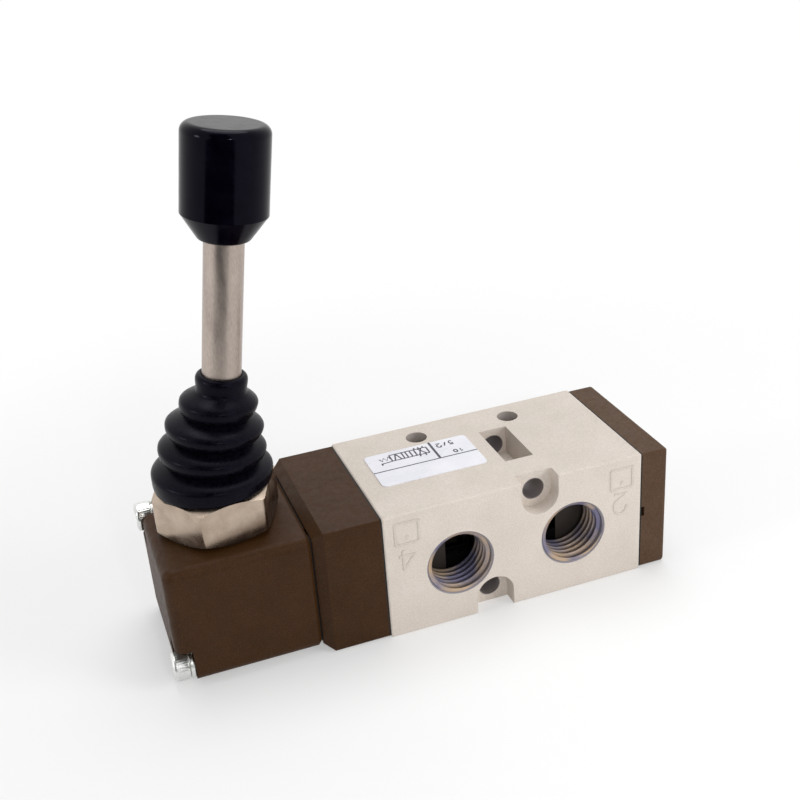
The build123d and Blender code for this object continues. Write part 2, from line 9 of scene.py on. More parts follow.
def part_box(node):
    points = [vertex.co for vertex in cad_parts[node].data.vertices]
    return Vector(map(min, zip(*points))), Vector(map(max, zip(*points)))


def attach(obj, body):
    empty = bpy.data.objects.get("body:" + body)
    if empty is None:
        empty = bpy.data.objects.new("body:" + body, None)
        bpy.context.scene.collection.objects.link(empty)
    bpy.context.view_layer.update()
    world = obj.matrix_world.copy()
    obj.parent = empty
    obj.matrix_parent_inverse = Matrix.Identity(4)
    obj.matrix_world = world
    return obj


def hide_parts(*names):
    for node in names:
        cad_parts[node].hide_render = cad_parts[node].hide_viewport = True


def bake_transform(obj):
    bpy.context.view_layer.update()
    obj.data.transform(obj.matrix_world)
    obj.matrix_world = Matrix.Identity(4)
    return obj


# %% [markdown]
# # A hand lever air valve
# The valve is a painted block with threaded air ports. A lever with a black knob rocks in a nickel
# plated gland at the left end, and a rubber boot keeps dirt out of its ball joint.
# The CAD model already holds every solid at its real size. It is loaded as the frame, and this
# script gives each piece its finish and adds what CAD leaves plain: the port threads, the raised
# marks, the print on the label, the split washers, a smooth boot and a finer spring.

# %% Load the frame
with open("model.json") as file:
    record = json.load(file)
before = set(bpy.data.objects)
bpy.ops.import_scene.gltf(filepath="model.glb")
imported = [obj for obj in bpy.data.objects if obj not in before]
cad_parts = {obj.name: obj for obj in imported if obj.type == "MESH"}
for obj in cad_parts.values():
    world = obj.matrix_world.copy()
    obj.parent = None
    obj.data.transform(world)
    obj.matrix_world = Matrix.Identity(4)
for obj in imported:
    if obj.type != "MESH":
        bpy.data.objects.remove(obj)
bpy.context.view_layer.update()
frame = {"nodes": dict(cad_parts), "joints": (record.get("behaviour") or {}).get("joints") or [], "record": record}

MM = 0.001
mounts = {mount["name"]: mount for mount in frame["record"]["mounts"]}
lever_joint = next(joint for joint in frame["joints"] if joint["name"] == "lever_tilt")
pivot = Vector(lever_joint["pos_m"])
body_low, body_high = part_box("valve_body")
_, housing_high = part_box("lever_housing")
_, gland_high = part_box("pivot_gland")

# %% [markdown]
# ## Camera
# The photograph was matched to the block's corners, which gives the lens and the place of the
# camera. Aiming the camera at a point would lose the slight roll of the photograph. So three angles
# turn it from looking straight along +Y: round the valve towards the lever, down, and a little over
# on its side. The Standard view transform shows a colour as it is written, where the default one
# would soften it.

# %% Camera
LENS_MM = 53.32
SENSOR_MM = 36
VIEW_TURN = 0.3131
VIEW_DOWN = 0.4648
VIEW_ROLL = -0.0762
camera_place = Vector((-78.95, -192.67, 143.46)) * MM

back = Vector((-sin(VIEW_TURN) * cos(VIEW_DOWN), -cos(VIEW_TURN) * cos(VIEW_DOWN), sin(VIEW_DOWN)))
level_right = Vector((cos(VIEW_TURN), -sin(VIEW_TURN), 0))
level_up = back.cross(level_right)
right = cos(VIEW_ROLL) * level_right + sin(VIEW_ROLL) * level_up
up = cos(VIEW_ROLL) * level_up - sin(VIEW_ROLL) * level_right

camera = bpy.data.objects.new("camera", bpy.data.cameras.new("camera"))
camera.data.lens = LENS_MM
camera.data.sensor_width = SENSOR_MM
camera.data.clip_start = 0.01
camera.data.clip_end = 20
turn = Matrix((right, up, back)).transposed().to_4x4()
camera.matrix_world = Matrix.Translation(camera_place) @ turn
bpy.context.scene.collection.objects.link(camera)
bpy.context.scene.camera = camera
bpy.context.scene.view_settings.view_transform = "Standard"
print("camera stands", round(camera_place.length / MM), "mm from the frame's origin")

# %% [markdown]
# ## Lamps
# Product photographs like this one are taken under large soft lamps: one over and behind the valve,
# one in front and a weaker one at each side. Their power is set so that a colour renders about as
# it is written. A bare bulb adds the pinpoint of light on the knob's shoulder. The right lamp only
# fills, and shiny pieces don't mirror it, because the photograph shows no glint from there.

# %% Lamps
AIM = Vector((-0.02, 0, 0.02))


def area_lamp(name, place, size, power, mirrored=True):
    """A round lamp that looks at the valve. Place and size are in metres, power in watts."""
    lamp = bpy.data.objects.new(name, bpy.data.lights.new(name, "AREA"))
    lamp.data.shape = "DISK"
    lamp.data.size = size
    lamp.data.energy = power
    lamp.location = place
    lamp.rotation_euler = (AIM - Vector(place)).to_track_quat("-Z", "Y").to_euler()
    lamp.visible_glossy = mirrored
    bpy.context.scene.collection.objects.link(lamp)


area_lamp("top lamp", (0.1, 0.25, 0.85), 0.7, 3.9)
area_lamp("front lamp", (-0.15, -0.9, 0.5), 0.6, 1.4)
area_lamp("right lamp", (0.36, -0.30, 0.20), 0.25, 1.0, mirrored=False)
area_lamp("left lamp", (-0.9, -0.05, 0.35), 0.22, 1.15)
area_lamp("bare bulb", (-0.034, -0.333, 0.20), 0.012, 0.10)
print("lamps:", [lamp.name for lamp in bpy.data.lights])

# %% [markdown]
# ## Node trees by the line
# World, floor, finishes and the grown pieces are all node trees. Linking every socket by hand takes
# many lines and hides the idea. These helpers add a node with its inputs, do one sum, and let one
# number follow another between two limits.


# %% Helpers for node trees
def put(tree, kind, inputs=None, **settings):
    """Adds a node. An input is a number, a vector or another node's output."""
    made = tree.nodes.new(kind)
    for name, value in settings.items():
        setattr(made, name, value)
    for key, value in (inputs or {}).items():
        if isinstance(value, bpy.types.NodeSocket):
            tree.links.new(value, made.inputs[key])
        else:
            made.inputs[key].default_value = value
    return made


def made_by(tree, kind, inputs=None, **settings):
    """Adds a node and hands on its first output."""
    return put(tree, kind, inputs, **settings).outputs[0]


def sum_up(tree, operation, first, second=0.0, third=0.0):
    """One Math node."""
    return made_by(tree, "ShaderNodeMath", {0: first, 1: second, 2: third}, operation=operation)


def follow(tree, value, low, high, start=0.35, end=0.65, **settings):
    """A number that runs from low to high while value runs from start to end."""
    limits = {"Value": value, "From Min": start, "From Max": end, "To Min": low, "To Max": high}
    return put(tree, "ShaderNodeMapRange", limits, **settings).outputs["Result"]


# %% [markdown]
# ## World
# A white room does two jobs. It is what the camera and shiny pieces see, and there it has to be
# plain white. It also lights the valve from all sides, and at full strength that light would wash
# the pale paint out. A Light Path node tells the two kinds of ray apart, so each gets its own
# strength and the lamps still shape the valve.


# %% World
def seen_rays(tree):
    """One for rays that look: the camera's, and those a shiny or clear piece sends on."""
    rays = put(tree, "ShaderNodeLightPath").outputs
    mirrored = sum_up(tree, "MAXIMUM", rays["Is Glossy Ray"], rays["Is Transmission Ray"])
    return sum_up(tree, "MAXIMUM", rays["Is Camera Ray"], mirrored)


WORLD_LIGHT = 0.36
world = bpy.data.worlds.new("studio")
world.use_nodes = True
bpy.context.scene.world = world
tree = world.node_tree
tree.nodes["Background"].inputs["Color"].default_value = (1, 1, 1, 1)
strength = follow(tree, seen_rays(tree), WORLD_LIGHT, 1.0, 0.0, 1.0)
tree.links.new(strength, tree.nodes["Background"].inputs["Strength"])
print("the room lights at", WORLD_LIGHT, "and is seen at 1")

# %% [markdown]
# ## Dark card
# Polished pieces show what stands round them. In the photograph a dark stripe runs down the steel
# lever and down the middle of the knob, so something dark stood near the camera. A stripe painted
# on the metal would stay put when the view turns. A folded card of black cloth gives a true
# reflection instead: only shiny rays meet it, so it takes no light away and throws no shadow.


# %% Dark card
def new_finish(name, roughness=0.5, metallic=0.0, shine=0.5):
    """A material, its tree, its shader and the piece's own coordinates."""
    finish = bpy.data.materials.new(name)
    finish.use_nodes = True
    tree = finish.node_tree
    shader = tree.nodes["Principled BSDF"]
    shader.inputs["Roughness"].default_value = roughness
    shader.inputs["Metallic"].default_value = metallic
    shader.inputs["Specular IOR Level"].default_value = shine
    place = tree.nodes.new("ShaderNodeTexCoord").outputs["Object"]
    return finish, tree, shader, place


def sheet(name, corners, faces, finish):
    """A flat or folded sheet with a finish."""
    mesh = bpy.data.meshes.new(name)
    mesh.from_pydata(corners, [], faces)
    mesh.materials.append(finish)
    made = bpy.data.objects.new(name, mesh)
    bpy.context.scene.collection.objects.link(made)
    return made


CARD_FOOT = [(-0.42, -0.165, 0.002), (-0.02, -0.165, 0.002)]
CARD_FOLD = [(0.06, -0.62, 0.48), (-0.7, -0.62, 0.48)]
CARD_TOP = [(0.02, -0.22, 0.95), (-0.5, -0.22, 0.95)]
CARD_FACES = [(0, 1, 2, 3), (3, 2, 4, 5)]
black_cloth, tree, shader, place = new_finish("black cloth", shine=0.0)
shader.inputs["Base Color"].default_value = (0.02, 0.02, 0.02, 1)
dark_card = sheet("dark card", CARD_FOOT + CARD_FOLD + CARD_TOP, CARD_FACES, black_cloth)
dark_card.visible_camera = False
dark_card.visible_diffuse = False
dark_card.visible_shadow = False
print("card:", len(CARD_FACES), "faces, seen by shiny pieces only")

# %% [markdown]
# ## Floor
# The valve lies on a sweep of white paper. Near it the paper catches a soft shadow, which seats the
# valve on the floor. More light would burn the rest of the paper out to white, but the paint with
# it. So the paper fades with distance into an even glow of strength 1, for rays that look only.

# %% Floor
FLOOR_HALF = 3.0
SHADOW_REACH = 0.09
NEAR_GLOW = 0.35
SHADOW_MIDDLE = (-0.02, 0, 0)
paper, tree, shader, place = new_finish("white paper sweep", 0.9, shine=0.0)
shader.inputs["Base Color"].default_value = (0.93, 0.93, 0.93, 1)
ends = {0: place, 1: SHADOW_MIDDLE}
away = put(tree, "ShaderNodeVectorMath", ends, operation="DISTANCE").outputs["Value"]
fade_limits = (NEAR_GLOW, 1.0, SHADOW_REACH, 2 * SHADOW_REACH)
fade = follow(tree, away, *fade_limits, interpolation_type="SMOOTHSTEP")
glow = sum_up(tree, "MULTIPLY", fade, seen_rays(tree))
white = made_by(tree, "ShaderNodeEmission", {"Strength": 1.0})
blend = made_by(tree, "ShaderNodeMixShader", {0: glow, 1: shader.outputs[0], 2: white})
tree.links.new(blend, tree.nodes["Material Output"].inputs["Surface"])

signs = ((-1, -1), (1, -1), (1, 1), (-1, 1))
floor_corners = [(x * FLOOR_HALF, y * FLOOR_HALF, 0) for x, y in signs]
floor = sheet("floor", floor_corners, [(0, 1, 2, 3)], paper)
print("floor:", 2 * FLOOR_HALF, "m square, its glow grows from", round(SHADOW_REACH / MM), "mm")

# %% [markdown]
# ## Finishes
# Every finish is a few procedural nodes that read the piece's own Object coordinates, in metres. A
# picture of the surface would need unwrapping and fix the detail. Noise in metres has the same
# grain on every piece and stays put when the lever moves. The helpers make a noise of a given
# grain, mix two tones, and turn a noise into a bump of a given depth.


# %% Helpers for finishes
def grain(tree, place, size_mm, detail=3.0):
    """Noise whose lumps are about size_mm across."""
    lumps = {"Vector": place, "Scale": 1 / (size_mm * MM), "Detail": detail}
    return put(tree, "ShaderNodeTexNoise", lumps).outputs["Fac"]


def two_tones(tree, share, first, second):
    """A colour that goes from first to second with share."""
    tones = [(*tone, 1) if isinstance(tone, tuple) else tone for tone in (first, second)]
    mixed = {0: share, 6: tones[0], 7: tones[1]}
    return put(tree, "ShaderNodeMix", mixed, data_type="RGBA").outputs[2]


def bump(tree, shader, height, depth_mm):
    """Small hills on the surface, depth_mm high."""
    hills = {"Height": height, "Distance": depth_mm * MM, "Strength": 1.0}
    tree.links.new(put(tree, "ShaderNodeBump", hills).outputs["Normal"], shader.inputs["Normal"])


def give(tree, shader, colour, gloss):
    """Hands the shader its colour and its roughness."""
    tree.links.new(colour, shader.inputs["Base Color"])
    tree.links.new(gloss, shader.inputs["Roughness"])


# %% [markdown]
# ### Paint
# The blocks are aluminium castings under a satin paint with a fine orange peel. One noise would look like marble.
# So a coarse noise mottles the colour, a fine one sets light spots and dark pits in it, one more moves the gloss,
# and the last gives the peel as a bump. The end cap's brown is lighter than the other blocks', and the raised
# marks' beige is a little darker.

# %% Paint
SATIN = 0.5
BLOTCH_MM, FLECK_MM, GLOSS_MM, PEEL_LUMP_MM = 7, 0.28, 1.5, 0.6


def paint(tree, shader, place, dark, light, peel_mm, speckle):
    """Mottled colour for paint on a casting, and its orange peel."""
    blotch = follow(tree, grain(tree, place, BLOTCH_MM), 0.0, 1.0, 0.3, 0.7)
    colour = two_tones(tree, blotch, dark, light)
    fleck = follow(tree, grain(tree, place, FLECK_MM, 2), 0.0, 1.0, 0.35, 0.68)
    spot_tone = tuple(value * (1 + speckle) for value in light)
    colour = two_tones(tree, follow(tree, fleck, 0.0, 0.45, 0.5, 1.0), colour, spot_tone)
    pit_tone = tuple(value * (1 - speckle) for value in dark)
    colour = two_tones(tree, follow(tree, fleck, 0.45, 0.0, 0.0, 0.5), colour, pit_tone)
    bump(tree, shader, grain(tree, place, PEEL_LUMP_MM, 2), peel_mm)
    return colour


def casting_paint(name, tones, peel_mm, speckle, shine, tint=(1, 1, 1)):
    """Satin paint all over a piece. Shine is the specular level and tint its colour."""
    finish, tree, shader, place = new_finish(name, shine=shine)
    shader.inputs["Specular Tint"].default_value = (*tint, 1)
    colour = paint(tree, shader, place, *tones, peel_mm, speckle)
    gloss = follow(tree, grain(tree, place, GLOSS_MM), SATIN - 0.05, SATIN + 0.08)
    give(tree, shader, colour, gloss)
    return finish


BEIGE = ((0.63, 0.565, 0.50), (0.69, 0.62, 0.56))
MARK_BEIGE = [tuple(value * 0.92 for value in tone) for tone in BEIGE]
BROWN = ((0.037, 0.0145, 0.0025), (0.048, 0.020, 0.005))
CAP_BROWN = ((0.076, 0.041, 0.022), (0.092, 0.052, 0.030))
BEIGE_PEEL_MM, BEIGE_SPECKLE, BEIGE_SHINE = 0.010, 0.12, 0.25
BROWN_PEEL_MM, BROWN_SPECKLE, BROWN_SHINE = 0.018, 0.4, 0.17
brown_coat = (BROWN_PEEL_MM, BROWN_SPECKLE, BROWN_SHINE)
brown_paint = casting_paint("brown casting paint", BROWN, *brown_coat, tint=(0.94, 0.9, 0.98))
cap_paint = casting_paint("lighter brown cap paint", CAP_BROWN, *brown_coat)
beige_coat = (BEIGE_PEEL_MM, BEIGE_SPECKLE, BEIGE_SHINE)
mark_paint = casting_paint("beige paint on raised marks", MARK_BEIGE, *beige_coat)
print("paints:", brown_paint.name, "/", cap_paint.name, "/", mark_paint.name)

# %% [markdown]
# ### The valve body: paint outside, bare metal in the ports
# The ports are cut after painting, so their walls, lead-in rings and floors are bare, and so is the
# spool's bore. Faces could be given a second material one by one, but the edge would then follow
# the mesh. Here one material does both. It works out how far a point is from each port's axis and
# swaps paint for metal inside the port's radius, on the side that the port opens to.

# %% Where the body is bare
PORT_MOUTH_MM = 6.97
BORE_MM = 7.0
SKIN_MM = 0.02


def square_of(tree, first, second):
    """The square of a distance whose two legs are first and second."""
    return sum_up(tree, "MULTIPLY_ADD", first, first, sum_up(tree, "MULTIPLY", second, second))


painted_body, tree, shader, place = new_finish("painted body with bare ports", shine=BEIGE_SHINE)
colour = paint(tree, shader, place, *BEIGE, BEIGE_PEEL_MM, BEIGE_SPECKLE)
spot = put(tree, "ShaderNodeSeparateXYZ", {0: place}).outputs
rise = sum_up(tree, "SUBTRACT", spot["Z"], mounts["port_2"]["pos_m"][2])
in_port = 0.0
for number in range(1, 6):
    x, y, _ = mounts[f"port_{number}"]["pos_m"]
    across = sum_up(tree, "SUBTRACT", spot["X"], x)
    near = sum_up(tree, "LESS_THAN", square_of(tree, across, rise), (PORT_MOUTH_MM * MM) ** 2)
    own_side = sum_up(tree, "LESS_THAN" if y < 0 else "GREATER_THAN", spot["Y"], 0.0)
    in_port = sum_up(tree, "MAXIMUM", in_port, sum_up(tree, "MULTIPLY", near, own_side))

depth = sum_up(tree, "SUBTRACT", body_high.y, sum_up(tree, "ABSOLUTE", spot["Y"]))
sunk = sum_up(tree, "GREATER_THAN", depth, SKIN_MM * MM)
bore_rise = sum_up(tree, "SUBTRACT", spot["Z"], (body_low.z + body_high.z) / 2)
in_bore = sum_up(tree, "LESS_THAN", square_of(tree, bore_rise, spot["Y"]), (BORE_MM * MM) ** 2)
bare = sum_up(tree, "MAXIMUM", sum_up(tree, "MULTIPLY", in_port, sunk), in_bore)
print("bare within", PORT_MOUTH_MM, "mm of each port's axis")

# %% [markdown]
# Little light gets down a port, and past its floor the grooves round the spool are black. The lamps give some of
# that by themselves, but the photograph is darker in there. So shade is painted in: the cut metal's tone falls off
# with depth, and a band as wide as a groove is painted black where a port's floor meets it.

# %% Painted shade in port floors and grooves
GROOVE_PLACES_MM = (-18, -9, 0, 9, 18)
GROOVE_HALF_MM = 3.1
PORT_FLOOR_MM = 8.1
# The floor and groove colours are painted shade. The wall colour is the bare cut metal.
WALL_TONE, FLOOR_PAINTED_SHADE, GROOVE_PAINTED_SHADE = (0.34, 0.32, 0.35), (0.085, 0.07, 0.062), (0.004, 0.003, 0.003)
SHADE_DEPTH_FADE = (0.6 * MM, 7 * MM)
groove = 0.0
for place_mm in GROOVE_PLACES_MM:
    off = sum_up(tree, "ABSOLUTE", sum_up(tree, "SUBTRACT", spot["X"], place_mm * MM))
    here = sum_up(tree, "LESS_THAN", off, GROOVE_HALF_MM * MM)
    # The ports at -9 and 9 open in front, the other three at the back.
    side = "LESS_THAN" if place_mm % 2 else "GREATER_THAN"
    here = sum_up(tree, "MULTIPLY", here, sum_up(tree, side, spot["Y"], 0.0))
    groove = sum_up(tree, "MAXIMUM", groove, here)
# Painted black shade where a port's floor meets a groove.
at_floor = sum_up(tree, "GREATER_THAN", depth, PORT_FLOOR_MM * MM)
groove = sum_up(tree, "MULTIPLY", groove, at_floor)
painted_depth_shade = follow(tree, depth, 0.0, 1.0, *SHADE_DEPTH_FADE)
cut_metal_and_painted_shade = two_tones(tree, painted_depth_shade, WALL_TONE, FLOOR_PAINTED_SHADE)
cut_metal_and_painted_shade = two_tones(tree, groove, cut_metal_and_painted_shade, GROOVE_PAINTED_SHADE)
tone = two_tones(tree, bare, colour, cut_metal_and_painted_shade)
print("grooves at x", GROOVE_PLACES_MM, "mm")

# %% [markdown]
# The four mounting holes are drilled through the paint too, so their walls are bare grey metal, dimmed here with
# painted shade. The same test works for them: the distance from a hole's axis, along X and whichever of Y and Z
# the hole doesn't run along. The two from above face the top lamp, so they get less painted shade.

# %% Drilled holes with painted shade
HOLE_MM = 2.32
TOP_HOLE_MM = 10.25
# The hole colour is bare metal dimmed with painted shade.
HOLE_METAL_AND_SHADE = (0.19, 0.17, 0.18)
SIDE_HOLE_SHADE, TOP_HOLE_SHADE = 0.85, 0.45
holes = []
for name in ("side_hole_upper", "side_hole_lower"):
    x, _, z = mounts[name]["pos_m"]
    holes.append((x, "Z", z, SIDE_HOLE_SHADE))
for side in (-1, 1):
    holes.append((side * TOP_HOLE_MM * MM, "Y", mounts["top_holes"]["pos_m"][1], TOP_HOLE_SHADE))

under_top = sum_up(tree, "LESS_THAN", spot["Z"], body_high.z - SKIN_MM * MM)
for x, axis, other, shade_share in holes:
    one_leg = sum_up(tree, "SUBTRACT", spot["X"], x)
    other_leg = sum_up(tree, "SUBTRACT", spot[axis], other)
    drilled = square_of(tree, one_leg, other_leg)
    drilled = sum_up(tree, "LESS_THAN", drilled, (HOLE_MM * MM) ** 2)
    drilled = sum_up(tree, "MULTIPLY", drilled, under_top)
    drilled = sum_up(tree, "MULTIPLY", drilled, shade_share)
    tone = two_tones(tree, drilled, tone, HOLE_METAL_AND_SHADE)
give(tree, shader, tone, follow(tree, bare, SATIN, SATIN + 0.05, 0, 1))
tree.links.new(follow(tree, bare, 0.0, 0.6, 0, 1), shader.inputs["Metallic"])
print("holes darkened:", len(holes), "nodes in the body's finish:", len(tree.nodes))

# %% [markdown]
# ### Bare metals
# The lever is ground stainless steel, the screws are bright zinc, the spring is oiled wire, and
# inside there are an aluminium spool and a bronze bush. A plain metal shader looks like a clean
# mirror. A slow noise that smudges the gloss and a fine one for the grain of the cut take that
# away. The lever's grain is drawn out along Z, the way it was ground.


# %% Metals
def bare_metal(
    name, dark, light, roughness, grain_mm=0.12, depth_mm=0.002, smudge_mm=4.0, along_z=1
):
    """Smudged metal between two tones. Below 1, along_z draws the grain out upwards."""
    finish, tree, shader, place = new_finish(name, roughness, 1.0)
    drawn_out = {"Vector": place, "Scale": (1, 1, along_z)}
    place = made_by(tree, "ShaderNodeMapping", drawn_out)
    smudge = grain(tree, place, smudge_mm)
    fine = grain(tree, place, grain_mm, 2)
    share = sum_up(tree, "MULTIPLY_ADD", fine, 0.5, sum_up(tree, "MULTIPLY", smudge, 0.5))
    tone = two_tones(tree, follow(tree, share, 0, 1), dark, light)
    give(tree, shader, tone, follow(tree, smudge, roughness - 0.05, roughness + 0.1))
    bump(tree, shader, fine, depth_mm)
    return finish


STEEL = ((0.36, 0.30, 0.27), (0.50, 0.43, 0.375))
ZINC = ((0.66, 0.67, 0.65), (0.84, 0.85, 0.82))
SPRING_STEEL = ((0.20, 0.19, 0.18), (0.36, 0.34, 0.32))
ALUMINIUM = ((0.58, 0.59, 0.61), (0.70, 0.71, 0.73))
BRONZE = ((0.42, 0.25, 0.09), (0.58, 0.38, 0.17))
ground_steel = bare_metal("ground steel lever", *STEEL, 0.34, 0.22, 0.003, 2.5, along_z=0.25)
bright_zinc = bare_metal("bright zinc screws", *ZINC, 0.26, 0.3, 0.001)
spring_steel = bare_metal("oiled spring steel", *SPRING_STEEL, 0.32)
cut_aluminium = bare_metal("ground aluminium spool", *ALUMINIUM, 0.25)
bearing_bronze = bare_metal("bearing bronze", *BRONZE, 0.35)
metals = (ground_steel, bright_zinc, spring_steel, cut_aluminium, bearing_bronze)
print("metals:", [metal.name for metal in metals])

# %% [markdown]
# ### The gland's nickel
# The gland is brass under warm nickel. Its plating carries dirt where it meets the housing, and above that a band
# of painted shade and painted reflection, the brown of the housing, climbs its right flats. Both could be drawn by
# hand on an unwrapped mesh. Here they follow the height over the housing's top, made ragged with a noise. The
# painted band's height also rises to the right. The dirt dulls the metal as it darkens it.

# %% Nickel with dirt and a painted shade band at its foot
NICKEL = ((0.40, 0.315, 0.245), (0.53, 0.43, 0.345))
# The band's colour is painted shade and the painted reflection of the brown housing.
REFLECTION_SHADE_TONE, SHADE_BAND_SLOPE, SHADE_BAND_SHARE = (0.15, 0.10, 0.07), -0.32, 0.85
SHADE_BAND_FADE = (1.0 * MM, 4.4 * MM)
DIRT_TONE = (0.035, 0.020, 0.012)
DIRT_FADE = (-0.75 * MM, 0.6 * MM)
gland_nickel, tree, shader, place = new_finish("nickel plated gland", 0.3, 1.0)
spot = put(tree, "ShaderNodeSeparateXYZ", {0: place}).outputs
smudge = grain(tree, place, 3.0)
tone = two_tones(tree, follow(tree, smudge, 0, 1), *NICKEL)
over_top = sum_up(tree, "SUBTRACT", spot["Z"], housing_high.z)

# Painted shade band: it reaches higher on the right flats.
to_the_right = sum_up(tree, "SUBTRACT", spot["X"], pivot.x)
band = sum_up(tree, "MULTIPLY_ADD", to_the_right, SHADE_BAND_SLOPE, over_top)
band = sum_up(tree, "MULTIPLY_ADD", grain(tree, place, 1.5), 1.2 * MM, band)
painted_shade_band = follow(tree, band, SHADE_BAND_SHARE, 0.0, *SHADE_BAND_FADE)
tone = two_tones(tree, painted_shade_band, tone, REFLECTION_SHADE_TONE)

ragged = sum_up(tree, "MULTIPLY_ADD", grain(tree, place, 0.8), -1.6 * MM, over_top)
dirt = follow(tree, ragged, 1.0, 0.0, *DIRT_FADE)
tone = two_tones(tree, dirt, tone, DIRT_TONE)
gloss = sum_up(tree, "MULTIPLY_ADD", dirt, 0.3, follow(tree, smudge, 0.24, 0.36))
give(tree, shader, tone, gloss)
bump(tree, shader, grain(tree, place, 0.25, 2), 0.003)
print("gland:", gland_nickel.name, "over z", round(housing_high.z / MM, 1), "mm")

# %% [markdown]
# ### The cut threads
# The threads are cut aluminium with a film of oil and sealant, which looks tan in one place and violet blue in the
# next. A real thin film changes with the view, which an exported model can't carry. So a slow noise deals out the
# tints, the violet as painted reflection, and painted shade darkens the metal with depth, as in the port.

# %% Cut threads
# The violet tint is painted reflection colour.
TAN, GREY, VIOLET_REFLECTION = (0.52, 0.39, 0.28), (0.38, 0.32, 0.31), (0.20, 0.19, 0.29)
DEEP_PAINTED_SHADE = (0.04, 0.03, 0.03)
DEEP_SHADE_FADE = (4.0 * MM, 8.5 * MM)
thread_metal, tree, shader, place = new_finish("cut port thread", 0.5, 0.75)
film = grain(tree, place, 6, 1)
tint = two_tones(tree, follow(tree, film, 0, 1, 0.42, 0.55), TAN, GREY)
tint = two_tones(tree, follow(tree, film, 0, 1, 0.55, 0.64), tint, VIOLET_REFLECTION)
y_place = put(tree, "ShaderNodeSeparateXYZ", {0: place}).outputs["Y"]
depth = sum_up(tree, "SUBTRACT", body_high.y, sum_up(tree, "ABSOLUTE", y_place))
# Painted shade: the thread darkens with depth.
tint = two_tones(tree, follow(tree, depth, 0.0, 0.8, *DEEP_SHADE_FADE), tint, DEEP_PAINTED_SHADE)
give(tree, shader, tint, follow(tree, grain(tree, place, 0.5), 0.42, 0.58))
print("threads:", thread_metal.name)

# %% [markdown]
# ### Rubber and plastics
# The boot is moulded rubber, the knob a polished black moulding, the label a white film, and the
# seals, gaskets and seats are plain mouldings. Black with a default gloss looks grey in a white
# room. So the boot and the knob are very dark, with a weak shine that is tinted navy. A noise gives
# each piece the lumps that a mould leaves.


# %% Rubber and plastics
def moulding(name, dark, light, roughness, lump_mm=1.2, depth_mm=0.004, shine=0.5, tint=(1, 1, 1)):
    """Rubber or plastic between two tones, with lumps about lump_mm across."""
    finish, tree, shader, place = new_finish(name, roughness, shine=shine)
    shader.inputs["Specular Tint"].default_value = (*tint, 1)
    lumps = grain(tree, place, lump_mm)
    tone = two_tones(tree, follow(tree, lumps, 0, 1), dark, light)
    give(tree, shader, tone, follow(tree, lumps, roughness - 0.04, roughness + 0.06))
    bump(tree, shader, lumps, depth_mm)
    return finish


NAVY_SHINE = (0.09, (0.78, 0.72, 1.0))
BOOT_BLACK = ((0.001, 0.001, 0.0025), (0.003, 0.0027, 0.0055))
KNOB_BLACK = ((0.0006, 0.0004, 0.002), (0.0014, 0.001, 0.0035))
boot_rubber = moulding("black boot rubber", *BOOT_BLACK, 0.3, 0.8, 0.005, *NAVY_SHINE)
knob_plastic = moulding("polished black knob", *KNOB_BLACK, 0.15, 2.5, 0.003, *NAVY_SHINE)
seal_rubber = moulding("black seal rubber", (0.010, 0.010, 0.010), (0.020, 0.020, 0.020), 0.45)
gasket_rubber = moulding("black gasket", (0.006, 0.006, 0.006), (0.012, 0.012, 0.012), 0.8)
seat_plastic = moulding("natural seat plastic", (0.66, 0.66, 0.60), (0.78, 0.78, 0.73), 0.4)
label_film = moulding("white label film", (0.80, 0.80, 0.86), (0.86, 0.86, 0.91), 0.3, 5.0, 0.002)
print_ink = moulding("dark print ink", (0.035, 0.035, 0.05), (0.06, 0.06, 0.08), 0.5)
mouldings = (boot_rubber, knob_plastic, seal_rubber, gasket_rubber, seat_plastic, label_film)
print("mouldings:", [plastic.name for plastic in mouldings], "and", print_ink.name)

# %% [markdown]
# ### Dress the CAD nodes
# Every node of the CAD model gets its finish, those inside the valve too, since the model can be
# opened. A list by finish is shorter than one by node and shows which pieces are alike.

# %% Dress the CAD nodes
dressing = [
    (painted_body, "valve_body"),
    (brown_paint, "spring_block lever_housing"),
    (cap_paint, "end_cap"),
    (label_film, "label_plate"),
    (gasket_rubber, "end_cap_gasket spring_block_gasket housing_gasket"),
    (bright_zinc, "end_cap_screws spring_block_screws housing_screws lock_washers"),
    (gland_nickel, "pivot_gland"),
    (seat_plastic, "ball_seat tip_ball"),
    (spring_steel, "seat_clip stem_clip return_spring"),
    (bearing_bronze, "stem_guide"),
    (ground_steel, "lever_rod pivot_ball spool_stem stem_head spring_cup"),
    (knob_plastic, "knob"),
    (boot_rubber, "rubber_boot"),
    (cut_aluminium, "spool"),
    (seal_rubber, " ".join(f"spool_seal_{number}" for number in range(1, 7))),
]
dressed = 0
for finish, names in dressing:
    for name in names.split():
        mesh = frame["nodes"][name].data
        mesh.materials.clear()
        mesh.materials.append(finish)
        dressed += 1
print("dressed", dressed, "of", len(frame["nodes"]), "nodes")

# %% [markdown]
# ## Pieces that follow a rule
# A Geometry Nodes tree is a recipe: it takes a few points and some named sizes and grows a shape
# from them. Loops over vertices could do the same, but a recipe can be changed by its sizes. The
# helpers start a tree with named inputs, and end it with real geometry and a finish.


# %% Helpers for recipes
def new_recipe(name, *sizes):
    """A tree with named number inputs. Returns the tree and its incoming sockets."""
    tree = bpy.data.node_groups.new(name, "GeometryNodeTree")
    tree.interface.new_socket("Geometry", in_out="INPUT", socket_type="NodeSocketGeometry")
    for size in sizes:
        tree.interface.new_socket(size, in_out="INPUT", socket_type="NodeSocketFloat")
    tree.interface.new_socket("Geometry", in_out="OUTPUT", socket_type="NodeSocketGeometry")
    return tree, put(tree, "NodeGroupInput").outputs


